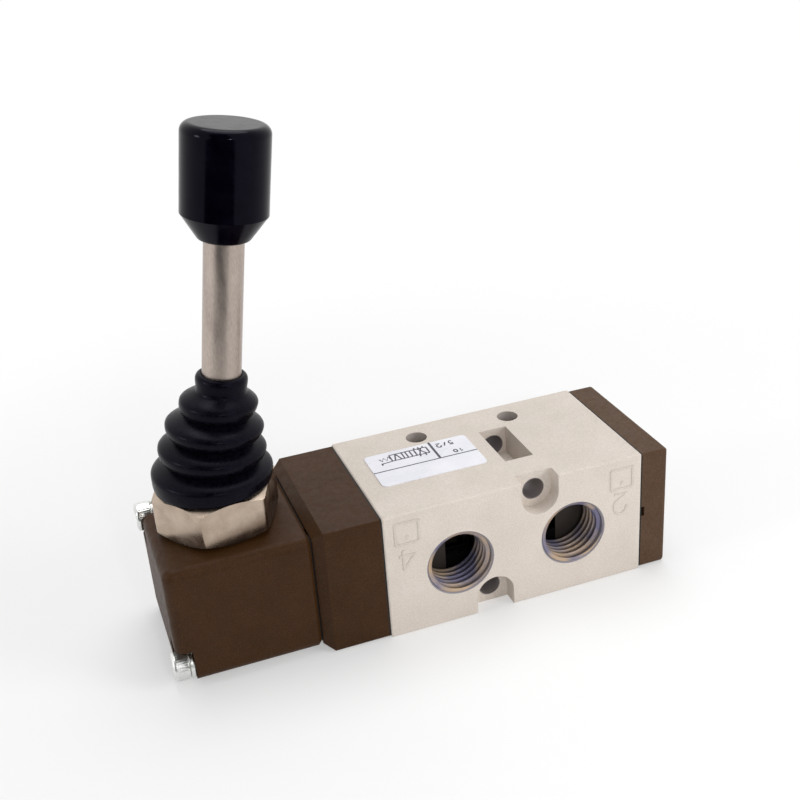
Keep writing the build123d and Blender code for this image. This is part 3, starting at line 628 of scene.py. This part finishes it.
def end_recipe(tree, shape, finish):
    """Turns instances into real faces, gives them their finish and hands them out."""
    real = made_by(tree, "GeometryNodeRealizeInstances", {"Geometry": shape})
    dressed = made_by(tree, "GeometryNodeSetMaterial", {"Geometry": real, "Material": finish})
    put(tree, "NodeGroupOutput", {0: dressed})


# %% [markdown]
# A recipe runs as a modifier on a few points. A live modifier would have to be worked out again at
# every look, and the export can't take it along. So the result is kept as a plain mesh, with its
# doubles merged and its faces outward, and the modifier has done its work.


# %% Run a recipe
def close_up(mesh, crease):
    """Merges doubles, turns the faces outward and shades all but the creases smooth."""
    shape = bmesh.new()
    shape.from_mesh(mesh)
    bmesh.ops.remove_doubles(shape, verts=shape.verts, dist=0.001 * MM)
    bmesh.ops.recalc_face_normals(shape, faces=shape.faces)
    shape.to_mesh(mesh)
    shape.free()
    mesh.shade_smooth()
    mesh.set_sharp_from_angle(angle=radians(crease))


def grow(name, tree, sizes, points, edges=(), ways=(), crease=35):
    """Runs a recipe on points, in metres, and keeps the result as a plain mesh."""
    seed = bpy.data.meshes.new(name + " points")
    seed.from_pydata(points, edges, [])
    if ways:
        way = seed.attributes.new("way", "FLOAT_VECTOR", "POINT")
        way.data.foreach_set("vector", [value for each in ways for value in each])
    piece = bpy.data.objects.new(name, seed)
    bpy.context.scene.collection.objects.link(piece)
    recipe = piece.modifiers.new(tree.name, "NODES")
    recipe.node_group = tree
    for item in tree.interface.items_tree:
        if item.in_out == "INPUT" and item.name in sizes:
            recipe[item.identifier] = sizes[item.name]
    worked_out = piece.evaluated_get(bpy.context.evaluated_depsgraph_get())
    grown = bpy.data.meshes.new_from_object(worked_out)
    piece.modifiers.clear()
    piece.data = grown
    grown.name = name
    bpy.data.meshes.remove(seed)
    close_up(grown, crease)
    print(f"{name}: {len(grown.polygons)} faces")
    return piece


# %% [markdown]
# ### Port threads
# Each port has a G1/4 pipe thread, cut with a tap. CAD keeps the hole plain at the thread's outer
# radius, so what is missing is the metal between the grooves. A bump would show no ridge at the
# mouth. One ridge on a spiral makes a real thread: a blunt triangle, swept along a spiral curve.
# The spring and the split washers are coils too, so the spiral, the sweep and the rounding of a
# section are helpers.


# %% Helpers for coils
def spiral(tree, resolution, turns, radius, rise):
    """A coil about Z, with resolution points to a turn."""
    sizes = {"Resolution": resolution, "Rotations": turns, "Height": rise, "Reverse": True}
    sizes["Start Radius"] = sizes["End Radius"] = radius
    return made_by(tree, "GeometryNodeCurveSpiral", sizes)


def rounded(tree, outline, radius):
    """An outline with its corners rounded."""
    corners = {"Curve": outline, "Count": 3, "Radius": radius, "Limit Radius": True}
    return made_by(tree, "GeometryNodeFilletCurve", corners, mode="POLY")


def sweep(tree, path, outline, scale=1.0):
    """Draws an outline along a path and closes its ends."""
    parts = {"Curve": path, "Profile Curve": outline, "Fill Caps": True, "Scale": scale}
    return made_by(tree, "GeometryNodeCurveToMesh", parts)


def moved(tree, shape, **place):
    """A shape with a Translation and a Rotation."""
    return made_by(tree, "GeometryNodeTransform", {"Geometry": shape, **place})


# %% [markdown]
# A G1/4 thread has 19 turns to the inch, which gives the pitch. The recipe lays the spiral from the
# port's floor up to its mouth. It moves the ridge's outline so that its foot lies on the wall and
# its crest points to the port's axis.

# %% Thread recipe
THREAD = {
    "Wall radius": 6.60 * MM,
    "Pitch": 1.337 * MM,
    "Turns": 5.75,
    "First turn depth": 0.15 * MM,
    "Ridge height": 0.87 * MM,
    "Ridge foot": 1.22 * MM,
    "Ridge crest": 0.34 * MM,
    "Rounding": 0.12 * MM,
}
START_TURN = radians(90)
tree, given = new_recipe("tapped thread", *THREAD)
rise = sum_up(tree, "MULTIPLY", given["Pitch"], given["Turns"])
path = spiral(tree, 72, given["Turns"], given["Wall radius"], rise)
deep = sum_up(tree, "MULTIPLY", sum_up(tree, "ADD", rise, given["First turn depth"]), -1.0)
deep_place = made_by(tree, "ShaderNodeCombineXYZ", {"Z": deep})
path = moved(tree, path, Translation=deep_place, Rotation=(0, 0, START_TURN))
path = made_by(tree, "GeometryNodeSetCurveNormal", {"Curve": path}, mode="Z_UP")

ridge_sizes = {
    "Height": given["Ridge height"],
    "Bottom Width": given["Ridge foot"],
    "Top Width": given["Ridge crest"],
    "Offset": 0.0,
}
ridge = made_by(tree, "GeometryNodeCurvePrimitiveQuadrilateral", ridge_sizes, mode="TRAPEZOID")
ridge = rounded(tree, ridge, given["Rounding"])
half_in = sum_up(tree, "MULTIPLY", given["Ridge height"], -0.5)
half_in = made_by(tree, "ShaderNodeCombineXYZ", {"X": half_in})
ridge = moved(tree, ridge, Translation=half_in, Rotation=(0, 0, pi / 2))
print("thread recipe:", len(tree.nodes), "nodes for the path and the ridge")

# %% [markdown]
# The ridge shrinks away at both ends, as a tap leaves it. Each of the five points carries the way
# that its port's mouth faces, and the recipe turns a thread to it. Five copies could be placed by
# hand, but they would have to be placed again when a port moves.

# %% Five threads
RUNOUT_SHARE = 0.07
along = put(tree, "GeometryNodeSplineParameter").outputs["Factor"]
from_end = sum_up(tree, "MINIMUM", along, sum_up(tree, "SUBTRACT", 1.0, along))
runout = follow(tree, from_end, 0.05, 1.0, 0.0, RUNOUT_SHARE)
thread = sweep(tree, path, ridge, runout)
way_named = {"Name": "way"}
way = put(tree, "GeometryNodeInputNamedAttribute", way_named, data_type="FLOAT_VECTOR")
way = way.outputs["Attribute"]
facing = made_by(tree, "FunctionNodeAlignRotationToVector", {"Vector": way}, axis="Z")
mouths = {"Points": given["Geometry"], "Instance": thread, "Rotation": facing}
end_recipe(tree, made_by(tree, "GeometryNodeInstanceOnPoints", mouths), thread_metal)

ports = [mounts[f"port_{number}"] for number in range(1, 6)]
ways = [port["axis"] for port in ports]
mouth_places = []
for port in ports:
    x, _, z = port["pos_m"]
    mouth_places.append((x, body_high.y * port["axis"][1], z))
port_threads = grow("port_threads", tree, THREAD, mouth_places, ways=ways, crease=50)
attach(port_threads, "valve")

# %% [markdown]
# ### Rubber boot
# The boot is moulded bellows: a bead snapped over the gland's neck, four rings and a collar that
# grips the rod. It could be sculpted, but the rings bulge by a rule: a sine from valley to crest,
# full below the crest and slack above it. So the outline is worked out here, outer wall up and
# inner wall back down, as one closed line of radius and height in mm.

# %% Boot outline
RING_RADII = (11.2, 9.9, 8.95, 7.1)
VALLEY_RADII = (10.9, 8.2, 7.1, 5.9, 4.62)
CREST_SHARE = 0.54
FULL_BELOW = 0.5
SLACK_ABOVE = 1.25
BOOT_WALL = 1.1
BEAD_TALL = 1.0
BEAD_RADIUS = 7.05
BOOT_RISE = 17.45
STEPS_PER_RING = 18

skin = [(10.55, 0.0), (10.75, 0.05)]
ring_tall = BOOT_RISE / len(RING_RADII)
for ring, crest in enumerate(RING_RADII):
    for step in range(STEPS_PER_RING):
        share = (step + 0.5) / STEPS_PER_RING
        if share < CREST_SHARE:
            valley = VALLEY_RADII[ring]
            reach = sin(pi * (0.5 * share / CREST_SHARE)) ** FULL_BELOW
        else:
            valley = VALLEY_RADII[ring + 1]
            past_crest = 0.5 * (share - CREST_SHARE) / (1 - CREST_SHARE)
            reach = sin(pi * (0.5 + past_crest)) ** SLACK_ABOVE
        skin.append((valley + (crest - valley) * reach, (ring + share) * ring_tall))
lining = [(radius - BOOT_WALL, height) for radius, height in skin if height > BEAD_TALL]
bead = [(lining[0][0], BEAD_TALL), (BEAD_RADIUS, BEAD_TALL), (BEAD_RADIUS, 0.0)]
print("boot rings:", len(RING_RADII), "outer wall:", len(skin), "points")

# %% [markdown]
# The collar is a short sleeve with a rounded rim. It follows the rings in the same outline, which
# then turns in at the rim and runs down along the rod to meet the lining.

# %% Boot collar
COLLAR_TALL = 3.3
COLLAR_RADIUS = 4.72
ROD_RADIUS = 3.58
RIM_ROUND = 0.95
RIM_STEPS = 6

collar_top = BOOT_RISE + COLLAR_TALL
collar = [(VALLEY_RADII[-1], BOOT_RISE), (4.6, BOOT_RISE + 0.8), (COLLAR_RADIUS, BOOT_RISE + 1.9)]
for step in range(RIM_STEPS + 1):
    angle = step / RIM_STEPS * pi / 2
    rim_radius = COLLAR_RADIUS - RIM_ROUND + RIM_ROUND * cos(angle)
    collar.append((rim_radius, collar_top - RIM_ROUND + RIM_ROUND * sin(angle)))
mouth = [(ROD_RADIUS + 0.12, collar_top - 0.03), (ROD_RADIUS, collar_top - 0.25)]
mouth.append((ROD_RADIUS, BOOT_RISE - 0.2))
boot_outline = skin + collar + mouth + lining[::-1] + bead
print("boot outline:", len(boot_outline), "points, height", round(collar_top, 2), "mm")

# %% [markdown]
# The recipe sweeps the outline round a small circle, like a lathe, and then bends the straight
# boot over to the lean that the lever gives it. A lattice or an armature would bend it evenly, but
# rubber that is held upright at its foot doesn't bend so. Here a point's share of the boot's rise
# says how far its ring has tilted: not at all at the foot, fully at the head, and with a little
# extra tip between them.

# %% Boot recipe
BEND = {
    "Lathe radius": 1.0 * MM,
    "Rise": BOOT_RISE * MM,
    "Head shift": 3.93 * MM,
    "Shift power": 1.7,
    "Lean": -lever_joint["range_deg"][0] / 2,
    "Ring tip": 8.0,
    "Foot height": gland_high.z - 2.35 * MM,
    "Foot place": pivot.x,
}
tree, given = new_recipe("leaning bellows", *BEND)
circle = {"Resolution": 112, "Radius": given["Lathe radius"]}
lathe = made_by(tree, "GeometryNodeCurvePrimitiveCircle", circle)
lathe = made_by(tree, "GeometryNodeSetCurveNormal", {"Curve": lathe}, mode="Z_UP")
outline = made_by(tree, "GeometryNodeMeshToCurve", {"Mesh": given["Geometry"]})
turned = made_by(tree, "GeometryNodeCurveToMesh", {"Curve": lathe, "Profile Curve": outline})

spot = put(tree, "ShaderNodeSeparateXYZ", {0: made_by(tree, "GeometryNodeInputPosition")}).outputs
low_part = sum_up(tree, "MAXIMUM", sum_up(tree, "MINIMUM", spot["Z"], given["Rise"]), 0.0)
high_part = sum_up(tree, "SUBTRACT", spot["Z"], low_part)
share = sum_up(tree, "DIVIDE", low_part, given["Rise"])
rest = sum_up(tree, "SUBTRACT", 1.0, share)
leaned = sum_up(tree, "MULTIPLY", given["Lean"], sum_up(tree, "MULTIPLY_ADD", share, rest, share))
tipped = sum_up(tree, "MULTIPLY", given["Ring tip"], sum_up(tree, "MULTIPLY", share, rest))
tilt = sum_up(tree, "RADIANS", sum_up(tree, "ADD", leaned, tipped))
tilt_cos = sum_up(tree, "COSINE", tilt)
tilt_sin = sum_up(tree, "SINE", tilt)
print("boot recipe:", len(tree.nodes), "nodes up to the tilt of a ring")

# %% [markdown]
# The same share moves a ring across, by a power, so that the foot stays upright. Above the rise the collar goes on
# straight along the lever.

# %% Bend the boot
shift = sum_up(tree, "POWER", share, given["Shift power"])
across = sum_up(tree, "MULTIPLY", given["Head shift"], shift)
across = sum_up(tree, "MULTIPLY_ADD", high_part, tilt_sin, across)
across = sum_up(tree, "MULTIPLY_ADD", spot["X"], tilt_cos, across)
up_there = sum_up(tree, "MULTIPLY_ADD", high_part, tilt_cos, low_part)
up_there = sum_up(tree, "SUBTRACT", up_there, sum_up(tree, "MULTIPLY", spot["X"], tilt_sin))
bent = {
    "X": sum_up(tree, "ADD", across, given["Foot place"]),
    "Y": spot["Y"],
    "Z": sum_up(tree, "ADD", up_there, given["Foot height"]),
}
bent = {"Geometry": turned, "Position": made_by(tree, "ShaderNodeCombineXYZ", bent)}
end_recipe(tree, made_by(tree, "GeometryNodeSetPosition", bent), boot_rubber)

lathe_radius = BEND["Lathe radius"]
outline_points = [(radius * MM - lathe_radius, -height * MM, 0) for radius, height in boot_outline]
loop = [(number, (number + 1) % len(boot_outline)) for number in range(len(boot_outline))]
boot = grow("rubber_bellows", tree, BEND, outline_points, loop, crease=60)
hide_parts("rubber_boot")
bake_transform(boot)

# %% [markdown]
# ### Return spring
# The spring is wound from steel wire with its end turns laid close, so that it stands square. A plain spiral has
# one pitch all along. Here each point of it slides along the spring by a sine, which closes the pitch at both ends
# and opens it in the middle. One end rides on the spool and the other rests on the valve.

# %% Spring coil
WIRE = 0.5 * MM
spring_low, spring_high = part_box("return_spring")
SPRING = {
    "Turns": 6.0,
    "Coil radius": 5.0 * MM,
    "Wire radius": WIRE,
    "Left end": spring_low.x + WIRE,
    "Length": spring_high.x - spring_low.x - 2 * WIRE,
    "Closing": 0.85,
    "Height": (body_low.z + body_high.z) / 2,
}
tree, given = new_recipe("closed end spring", *SPRING)
coil = spiral(tree, 40, given["Turns"], given["Coil radius"], given["Length"])
spot = put(tree, "ShaderNodeSeparateXYZ", {0: made_by(tree, "GeometryNodeInputPosition")}).outputs
along = put(tree, "GeometryNodeSplineParameter").outputs["Factor"]
wave = sum_up(tree, "SINE", sum_up(tree, "MULTIPLY", along, 2 * pi))
slide = sum_up(tree, "MULTIPLY", given["Length"], given["Closing"])
slide = sum_up(tree, "MULTIPLY", slide, 0.5 / pi)
lengthways = sum_up(tree, "SUBTRACT", spot["Z"], sum_up(tree, "MULTIPLY", wave, slide))
print("spring recipe:", len(tree.nodes), "nodes for the coil and its pitch")

# %% [markdown]
# The spiral stands along Z. The recipe lays it along X, at the height of the spool, and sweeps a
# small circle along it for the wire.

# %% Return spring
laid = {
    "X": sum_up(tree, "ADD", lengthways, given["Left end"]),
    "Y": spot["Y"],
    "Z": sum_up(tree, "SUBTRACT", given["Height"], spot["X"]),
}
laid = {"Geometry": coil, "Position": made_by(tree, "ShaderNodeCombineXYZ", laid)}
coil = made_by(tree, "GeometryNodeSetPosition", laid)
wire = {"Resolution": 12, "Radius": given["Wire radius"]}
wire = made_by(tree, "GeometryNodeCurvePrimitiveCircle", wire)
end_recipe(tree, sweep(tree, coil, wire), spring_steel)
spring = grow("wound_spring", tree, SPRING, [(0, 0, 0)])
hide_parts("return_spring")
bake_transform(spring)

# %% [markdown]
# ### Long screws
# Two M3 socket screws hold the housing and the spring block to the body. A cylinder with a bump
# would lose the knurled edge and the socket. A screw is turned work, so rings of points make it.
# Each ring has a radius, a place along the screw and a form: round, knurled or six sided.

# %% Turned work
HEAD_RADIUS = 2.75
KNURLS = 36
KNURL_DEEP = 0.06


def round_ring(angle):
    """A ring at its full radius all round."""
    return 1.0


def hex_ring(angle):
    """A six sided ring whose corners lie at radius 1."""
    return cos(pi / 6) / cos((angle + pi / 6) % (pi / 3) - pi / 6)


def knurled_ring(angle):
    """A ring with fine grooves."""
    return 1.0 - KNURL_DEEP / HEAD_RADIUS * (0.5 - 0.5 * cos(KNURLS * angle))


def turned_mesh(name, rings, steps):
    """A skin over rings of (radius, height, form) in mm about Z, with both ends closed."""
    points = [(0, 0, rings[0][1] * MM)]
    for radius, height, form in rings:
        for step in range(steps):
            angle = 2 * pi * step / steps
            reach = radius * form(angle) * MM
            points.append((reach * cos(angle), reach * sin(angle), height * MM))
    points.append((0, 0, rings[-1][1] * MM))
    faces = []
    for step in range(steps):
        following = (step + 1) % steps
        faces.append((0, 1 + following, 1 + step))
        for ring in range(len(rings) - 1):
            lower, upper = 1 + ring * steps, 1 + (ring + 1) * steps
            faces.append((lower + step, lower + following, upper + following, upper + step))
        last = 1 + (len(rings) - 1) * steps
        faces.append((last + step, last + following, len(points) - 1))
    mesh = bpy.data.meshes.new(name)
    mesh.from_pydata(points, [], faces)
    return mesh


print("at a flat the six sided ring reaches", round(hex_ring(0), 3), "of its radius")

# %% [markdown]
# The rings run from the shank's tip to the head, over its rounded rim and down into the socket. The
# shank's length comes from the box of the CAD model's screws.

# %% One screw
HEAD_TALL = 3.0
SCREW_STEPS = 144
screws_low, screws_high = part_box("housing_screws")
shank_long = (screws_high.x - screws_low.x) / MM - HEAD_TALL
screw_rings = [
    (1.2, -shank_long, round_ring),
    (1.5, -shank_long + 0.3, round_ring),
    (1.5, -0.02, round_ring),
    (2.6, 0.0, round_ring),
    (2.74, 0.12, round_ring),
    (HEAD_RADIUS, 0.3, round_ring),
    (HEAD_RADIUS, 0.4, knurled_ring),
    (HEAD_RADIUS, 2.25, knurled_ring),
    (HEAD_RADIUS, 2.35, round_ring),
    (2.73, 2.55, round_ring),
    (2.66, 2.75, round_ring),
    (2.54, 2.9, round_ring),
    (2.36, 2.98, round_ring),
    (2.2, HEAD_TALL, round_ring),
    (1.62, HEAD_TALL, hex_ring),
    (1.45, 2.86, hex_ring),
    (1.45, 1.6, hex_ring),
]
screw_mesh = turned_mesh("socket screw", screw_rings, SCREW_STEPS)
print("one screw:", len(screw_mesh.polygons), "faces, shank", round(shank_long, 1), "mm")

# %% [markdown]
# The screws stand on one diagonal of the housing. The recipe takes the places of the heads' seats
# and sets the one screw on each, turned to look away from the valve. Instances keep the two alike,
# and the end of the recipe makes them real.

# %% Both screws in their places
LOOKING_LEFT = (0, -pi / 2, 0)
seat_x = screws_low.x + HEAD_TALL * MM
screw_axes = [(-12.0 * MM, 4.0 * MM), (12.0 * MM, 23.0 * MM)]
screw_seats = [(seat_x, y, z) for y, z in screw_axes]

single_screw = bpy.data.objects.new("single screw", screw_mesh)
tree, given = new_recipe("pair of screws")
one = put(tree, "GeometryNodeObjectInfo", {"Object": single_screw}).outputs["Geometry"]
seated = {"Points": given["Geometry"], "Instance": one, "Rotation": LOOKING_LEFT}
end_recipe(tree, made_by(tree, "GeometryNodeInstanceOnPoints", seated), bright_zinc)
screws = grow("long_screws", tree, {}, screw_seats, crease=30)
bpy.data.objects.remove(single_screw)
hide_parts("housing_screws")
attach(screws, "valve")

# %% [markdown]
# ### Split washers
# A spring washer is one short turn of square wire with a gap, its ends a little apart. A ring with
# a slot cut in it would have its ends level. A spiral of just under one turn has the gap and the
# rise by itself, and sweeps the wire's rounded section. Its start, and so the gap, looks up.


# %% Split washers
def flat_bar(tree, wide, tall):
    """The section of a bar."""
    sizes = {"Width": wide, "Height": tall}
    return made_by(tree, "GeometryNodeCurvePrimitiveQuadrilateral", sizes, mode="RECTANGLE")


washers_low, washers_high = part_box("lock_washers")
WASHER = {
    "Middle radius": 2.22 * MM,
    "Wire across": 1.05 * MM,
    "Wire tall": 0.78 * MM,
    "Turn": 0.95,
    "Rise": 0.16 * MM,
    "Rounding": 0.1 * MM,
}
tree, given = new_recipe("split washer", *WASHER)
ring = spiral(tree, 64, given["Turn"], given["Middle radius"], given["Rise"])
ring = made_by(tree, "GeometryNodeSetCurveNormal", {"Curve": ring}, mode="Z_UP")
section = flat_bar(tree, given["Wire across"], given["Wire tall"])
washer = sweep(tree, ring, rounded(tree, section, given["Rounding"]))
seated = {"Points": given["Geometry"], "Instance": washer, "Rotation": LOOKING_LEFT}
end_recipe(tree, made_by(tree, "GeometryNodeInstanceOnPoints", seated), bright_zinc)
washer_x = (washers_low.x + washers_high.x) / 2 + WASHER["Rise"] / 2
washers = grow("split_washers", tree, WASHER, [(washer_x, y, z) for y, z in screw_axes])
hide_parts("lock_washers")
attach(washers, "valve")

# %% [markdown]
# ### Raised marks
# The casting die leaves raised marks on the front face: the port's number by each port and a small
# square with a dot. They read the right way up when the valve lies the other way round, so here
# they stand on their heads. A font would bring its own letter forms. Each mark is drawn as lines in
# a unit square instead, with an arc where it is round, and placed on the face in mm.


# %% Lines of the marks
def arc(x, z, radius, start, end, steps=10):
    """Points on an arc. The angles are in degrees."""
    turns = [radians(start + (end - start) * step / steps) for step in range(steps + 1)]
    return [(x + radius * cos(turn), z + radius * sin(turn)) for turn in turns]


def drawn(lines, left, low, wide, tall):
    """Lines drawn in a unit square, turned on their head and set in a field, in mm."""
    return [[(left + wide * (1 - x), low + tall * (1 - z)) for x, z in line] for line in lines]


FOUR = [[(0.75, 0.0), (0.75, 1.0)], [(0.8, 1.0), (0.0, 0.3)], [(0.0, 0.3), (1.0, 0.3)]]
TWO = [[(0.0, 0.74), *arc(0.5, 0.7, 0.5, 165, -30)[1:], (0.05, 0.0), (1.0, 0.0)]]
SQUARE = [[(0, 0), (1, 0)], [(0, 1), (1, 1)], [(0, 0), (0, 1)], [(1, 0), (1, 1)]]
SQUARE += [[(0.5, 0.62), (0.5, 0.78)]]
marks = drawn(FOUR, -24.2, 14.8, 3.2, 4.4)
marks += drawn(TWO, 21.0, 15.3, 2.8, 3.9)
marks += drawn(SQUARE, -24.7, 20.5, 4.7, 4.6)
marks += drawn(SQUARE, 20.3, 20.3, 4.7, 4.5)
print("marks:", len(marks), "lines")

# %% [markdown]
# The recipe sweeps a bar along the lines, with its width flat on the face. Where two lines cross,
# their tops would lie in the same plane and flicker. So each line is set a few thousandths of a
# millimetre deeper than the one before, in a short cycle.


# %% Raised marks
def stroke_recipe(name, sizes, away, finish):
    """Sweeps a bar along lines. Away is the way their face looks."""
    tree, given = new_recipe(name, *sizes)
    lines = made_by(tree, "GeometryNodeMeshToCurve", {"Mesh": given["Geometry"]})
    looking = {"Curve": lines, "Normal": away}
    lines = made_by(tree, "GeometryNodeSetCurveNormal", looking, mode="FREE")
    bar = flat_bar(tree, given["Proud"], given["Stroke"])
    if "Edge" in sizes:
        bar = rounded(tree, bar, given["Edge"])
    end_recipe(tree, sweep(tree, lines, bar), finish)
    return tree


def stroke_points(lines, cycle, to_place):
    """Points and edges of lines. To_place takes two mm and the line's turn in the cycle."""
    points, edges = [], []
    for number, line in enumerate(lines):
        edges += [(len(points) + step, len(points) + step + 1) for step in range(len(line) - 1)]
        points += [to_place(first, second, number % cycle) for first, second in line]
    return points, edges


MARK_PROUD = 0.13
MARK_STROKE = 0.6
MARK_EDGE = 0.08
MARK_STEP = 0.006
MARK_CYCLE = 5


def on_front(x, z, turn):
    """A place on the body's front face."""
    return x * MM, body_low.y + turn * MARK_STEP * MM, z * MM


MARK_SIZES = {"Stroke": MARK_STROKE * MM, "Proud": 2 * MARK_PROUD * MM, "Edge": MARK_EDGE * MM}
tree = stroke_recipe("raised strokes", MARK_SIZES, (0, -1, 0), mark_paint)
raised_marks = grow("raised_marks", tree, MARK_SIZES, *stroke_points(marks, MARK_CYCLE, on_front))
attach(raised_marks, "valve")

# %% [markdown]
# ### Print on the label
# The label carries the valve's circuit symbol, a ruled line and two small fields, all printed
# upside down as seen from the ports. An image would need a picture file, and the symbol is all
# straight lines, so it is drawn in mm: three fields with the ways of the air, a short line for each
# port, a zigzag for the return spring and the lever.

# %% Circuit symbol
BOX_EDGES = (-18.0, -15.4, -12.75, -10.1)
BOX_LOW, BOX_HIGH = 3.25, 5.7
ZIGZAG = [(-18.0, 4.1), (-18.4, 5.3), (-18.9, 3.9), (-19.4, 5.1), (-19.9, 3.9), (-20.3, 4.9)]
LEVER_SIGN = [[(-18.0, 3.25), (-20.3, 3.0)], [(-20.3, 3.2), (-20.3, 2.6)]]
LEVER_SIGN += [[(-20.5, 2.6), (-20.1, 2.6)]]

symbol = [[(BOX_EDGES[0], y), (BOX_EDGES[3], y)] for y in (BOX_LOW, BOX_HIGH)]
symbol += [[(x, BOX_LOW), (x, BOX_HIGH)] for x in BOX_EDGES]
symbol += [[(-17.4, BOX_LOW), (-16.7, BOX_HIGH)], [(-16.0, BOX_LOW), (-16.7, BOX_HIGH)]]
symbol += [[(x, BOX_LOW), (x, BOX_HIGH)] for x in (-14.6, -13.7)]
symbol += [[(-12.2, BOX_LOW), (-11.2, BOX_HIGH)], [(-10.7, BOX_LOW), (-12.0, BOX_HIGH)]]
symbol += [[(x, BOX_HIGH), (x, 6.35)] for x in (-12.5, -11.6, -10.7)]
symbol += [[(x, BOX_LOW), (x, 2.5)] for x in (-12.2, -11.0)]
symbol += [ZIGZAG] + LEVER_SIGN
print("symbol:", len(symbol), "lines")

# %% [markdown]
# Under and beside the symbol run a thin rule and a thick one, which is three lines side by side.
# The two fields hold plain numbers, drawn in the same way as the raised marks.

# %% Rules and numbers
ONE = [[(0.2, 0.75), (0.6, 1.0), (0.6, 0.0)]]
NOUGHT = [[(0.5 + 0.45 * x, 0.5 + 0.5 * z) for x, z in arc(0, 0, 1, 0, 360, 16)]]
FIVE = [[(0.95, 1.0), (0.15, 1.0), (0.08, 0.55), *arc(0.45, 0.32, 0.4, 100, -140)]]
SLASH = [[(0.2, 0.0), (0.8, 1.0)]]
RULE_Y = 0.15
THICK_RULE = (-9.1, -9.0, -8.9)
label_low, label_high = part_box("label_plate")
print_lines = symbol + [[(label_low.x / MM, RULE_Y), (label_high.x / MM, RULE_Y)]]
print_lines += [[(x, RULE_Y), (x, label_high.y / MM)] for x in THICK_RULE]
for sign, left in ((FIVE, -5.3), (SLASH, -6.6), (TWO, -7.9)):
    print_lines += drawn(sign, left, 4.5, 0.9, 1.3)
for sign, left in ((ONE, -4.4), (NOUGHT, -5.6)):
    print_lines += drawn(sign, left, 1.0, 0.8, 1.1)
print("print:", len(print_lines), "lines")

# %% [markdown]
# The recipe of the raised marks prints the lines too, as flat ink that stands about a hundredth of
# a millimetre over the film. Their cycle is longer and steps up from the film. Ink has no edge to
# round, so that size is left out.

# %% Print on the label
INK_PROUD = 0.015
INK_STROKE = 0.3
INK_STEP = 0.001
INK_CYCLE = 7


def on_film(x, y, turn):
    """A place on the label's top."""
    return x * MM, y * MM, label_high.z + turn * INK_STEP * MM


INK_SIZES = {"Stroke": INK_STROKE * MM, "Proud": 2 * INK_PROUD * MM}
tree = stroke_recipe("printed strokes", INK_SIZES, (0, 0, 1), print_ink)
label_print = grow("label_print", tree, INK_SIZES, *stroke_points(print_lines, INK_CYCLE, on_film))
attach(label_print, "valve")
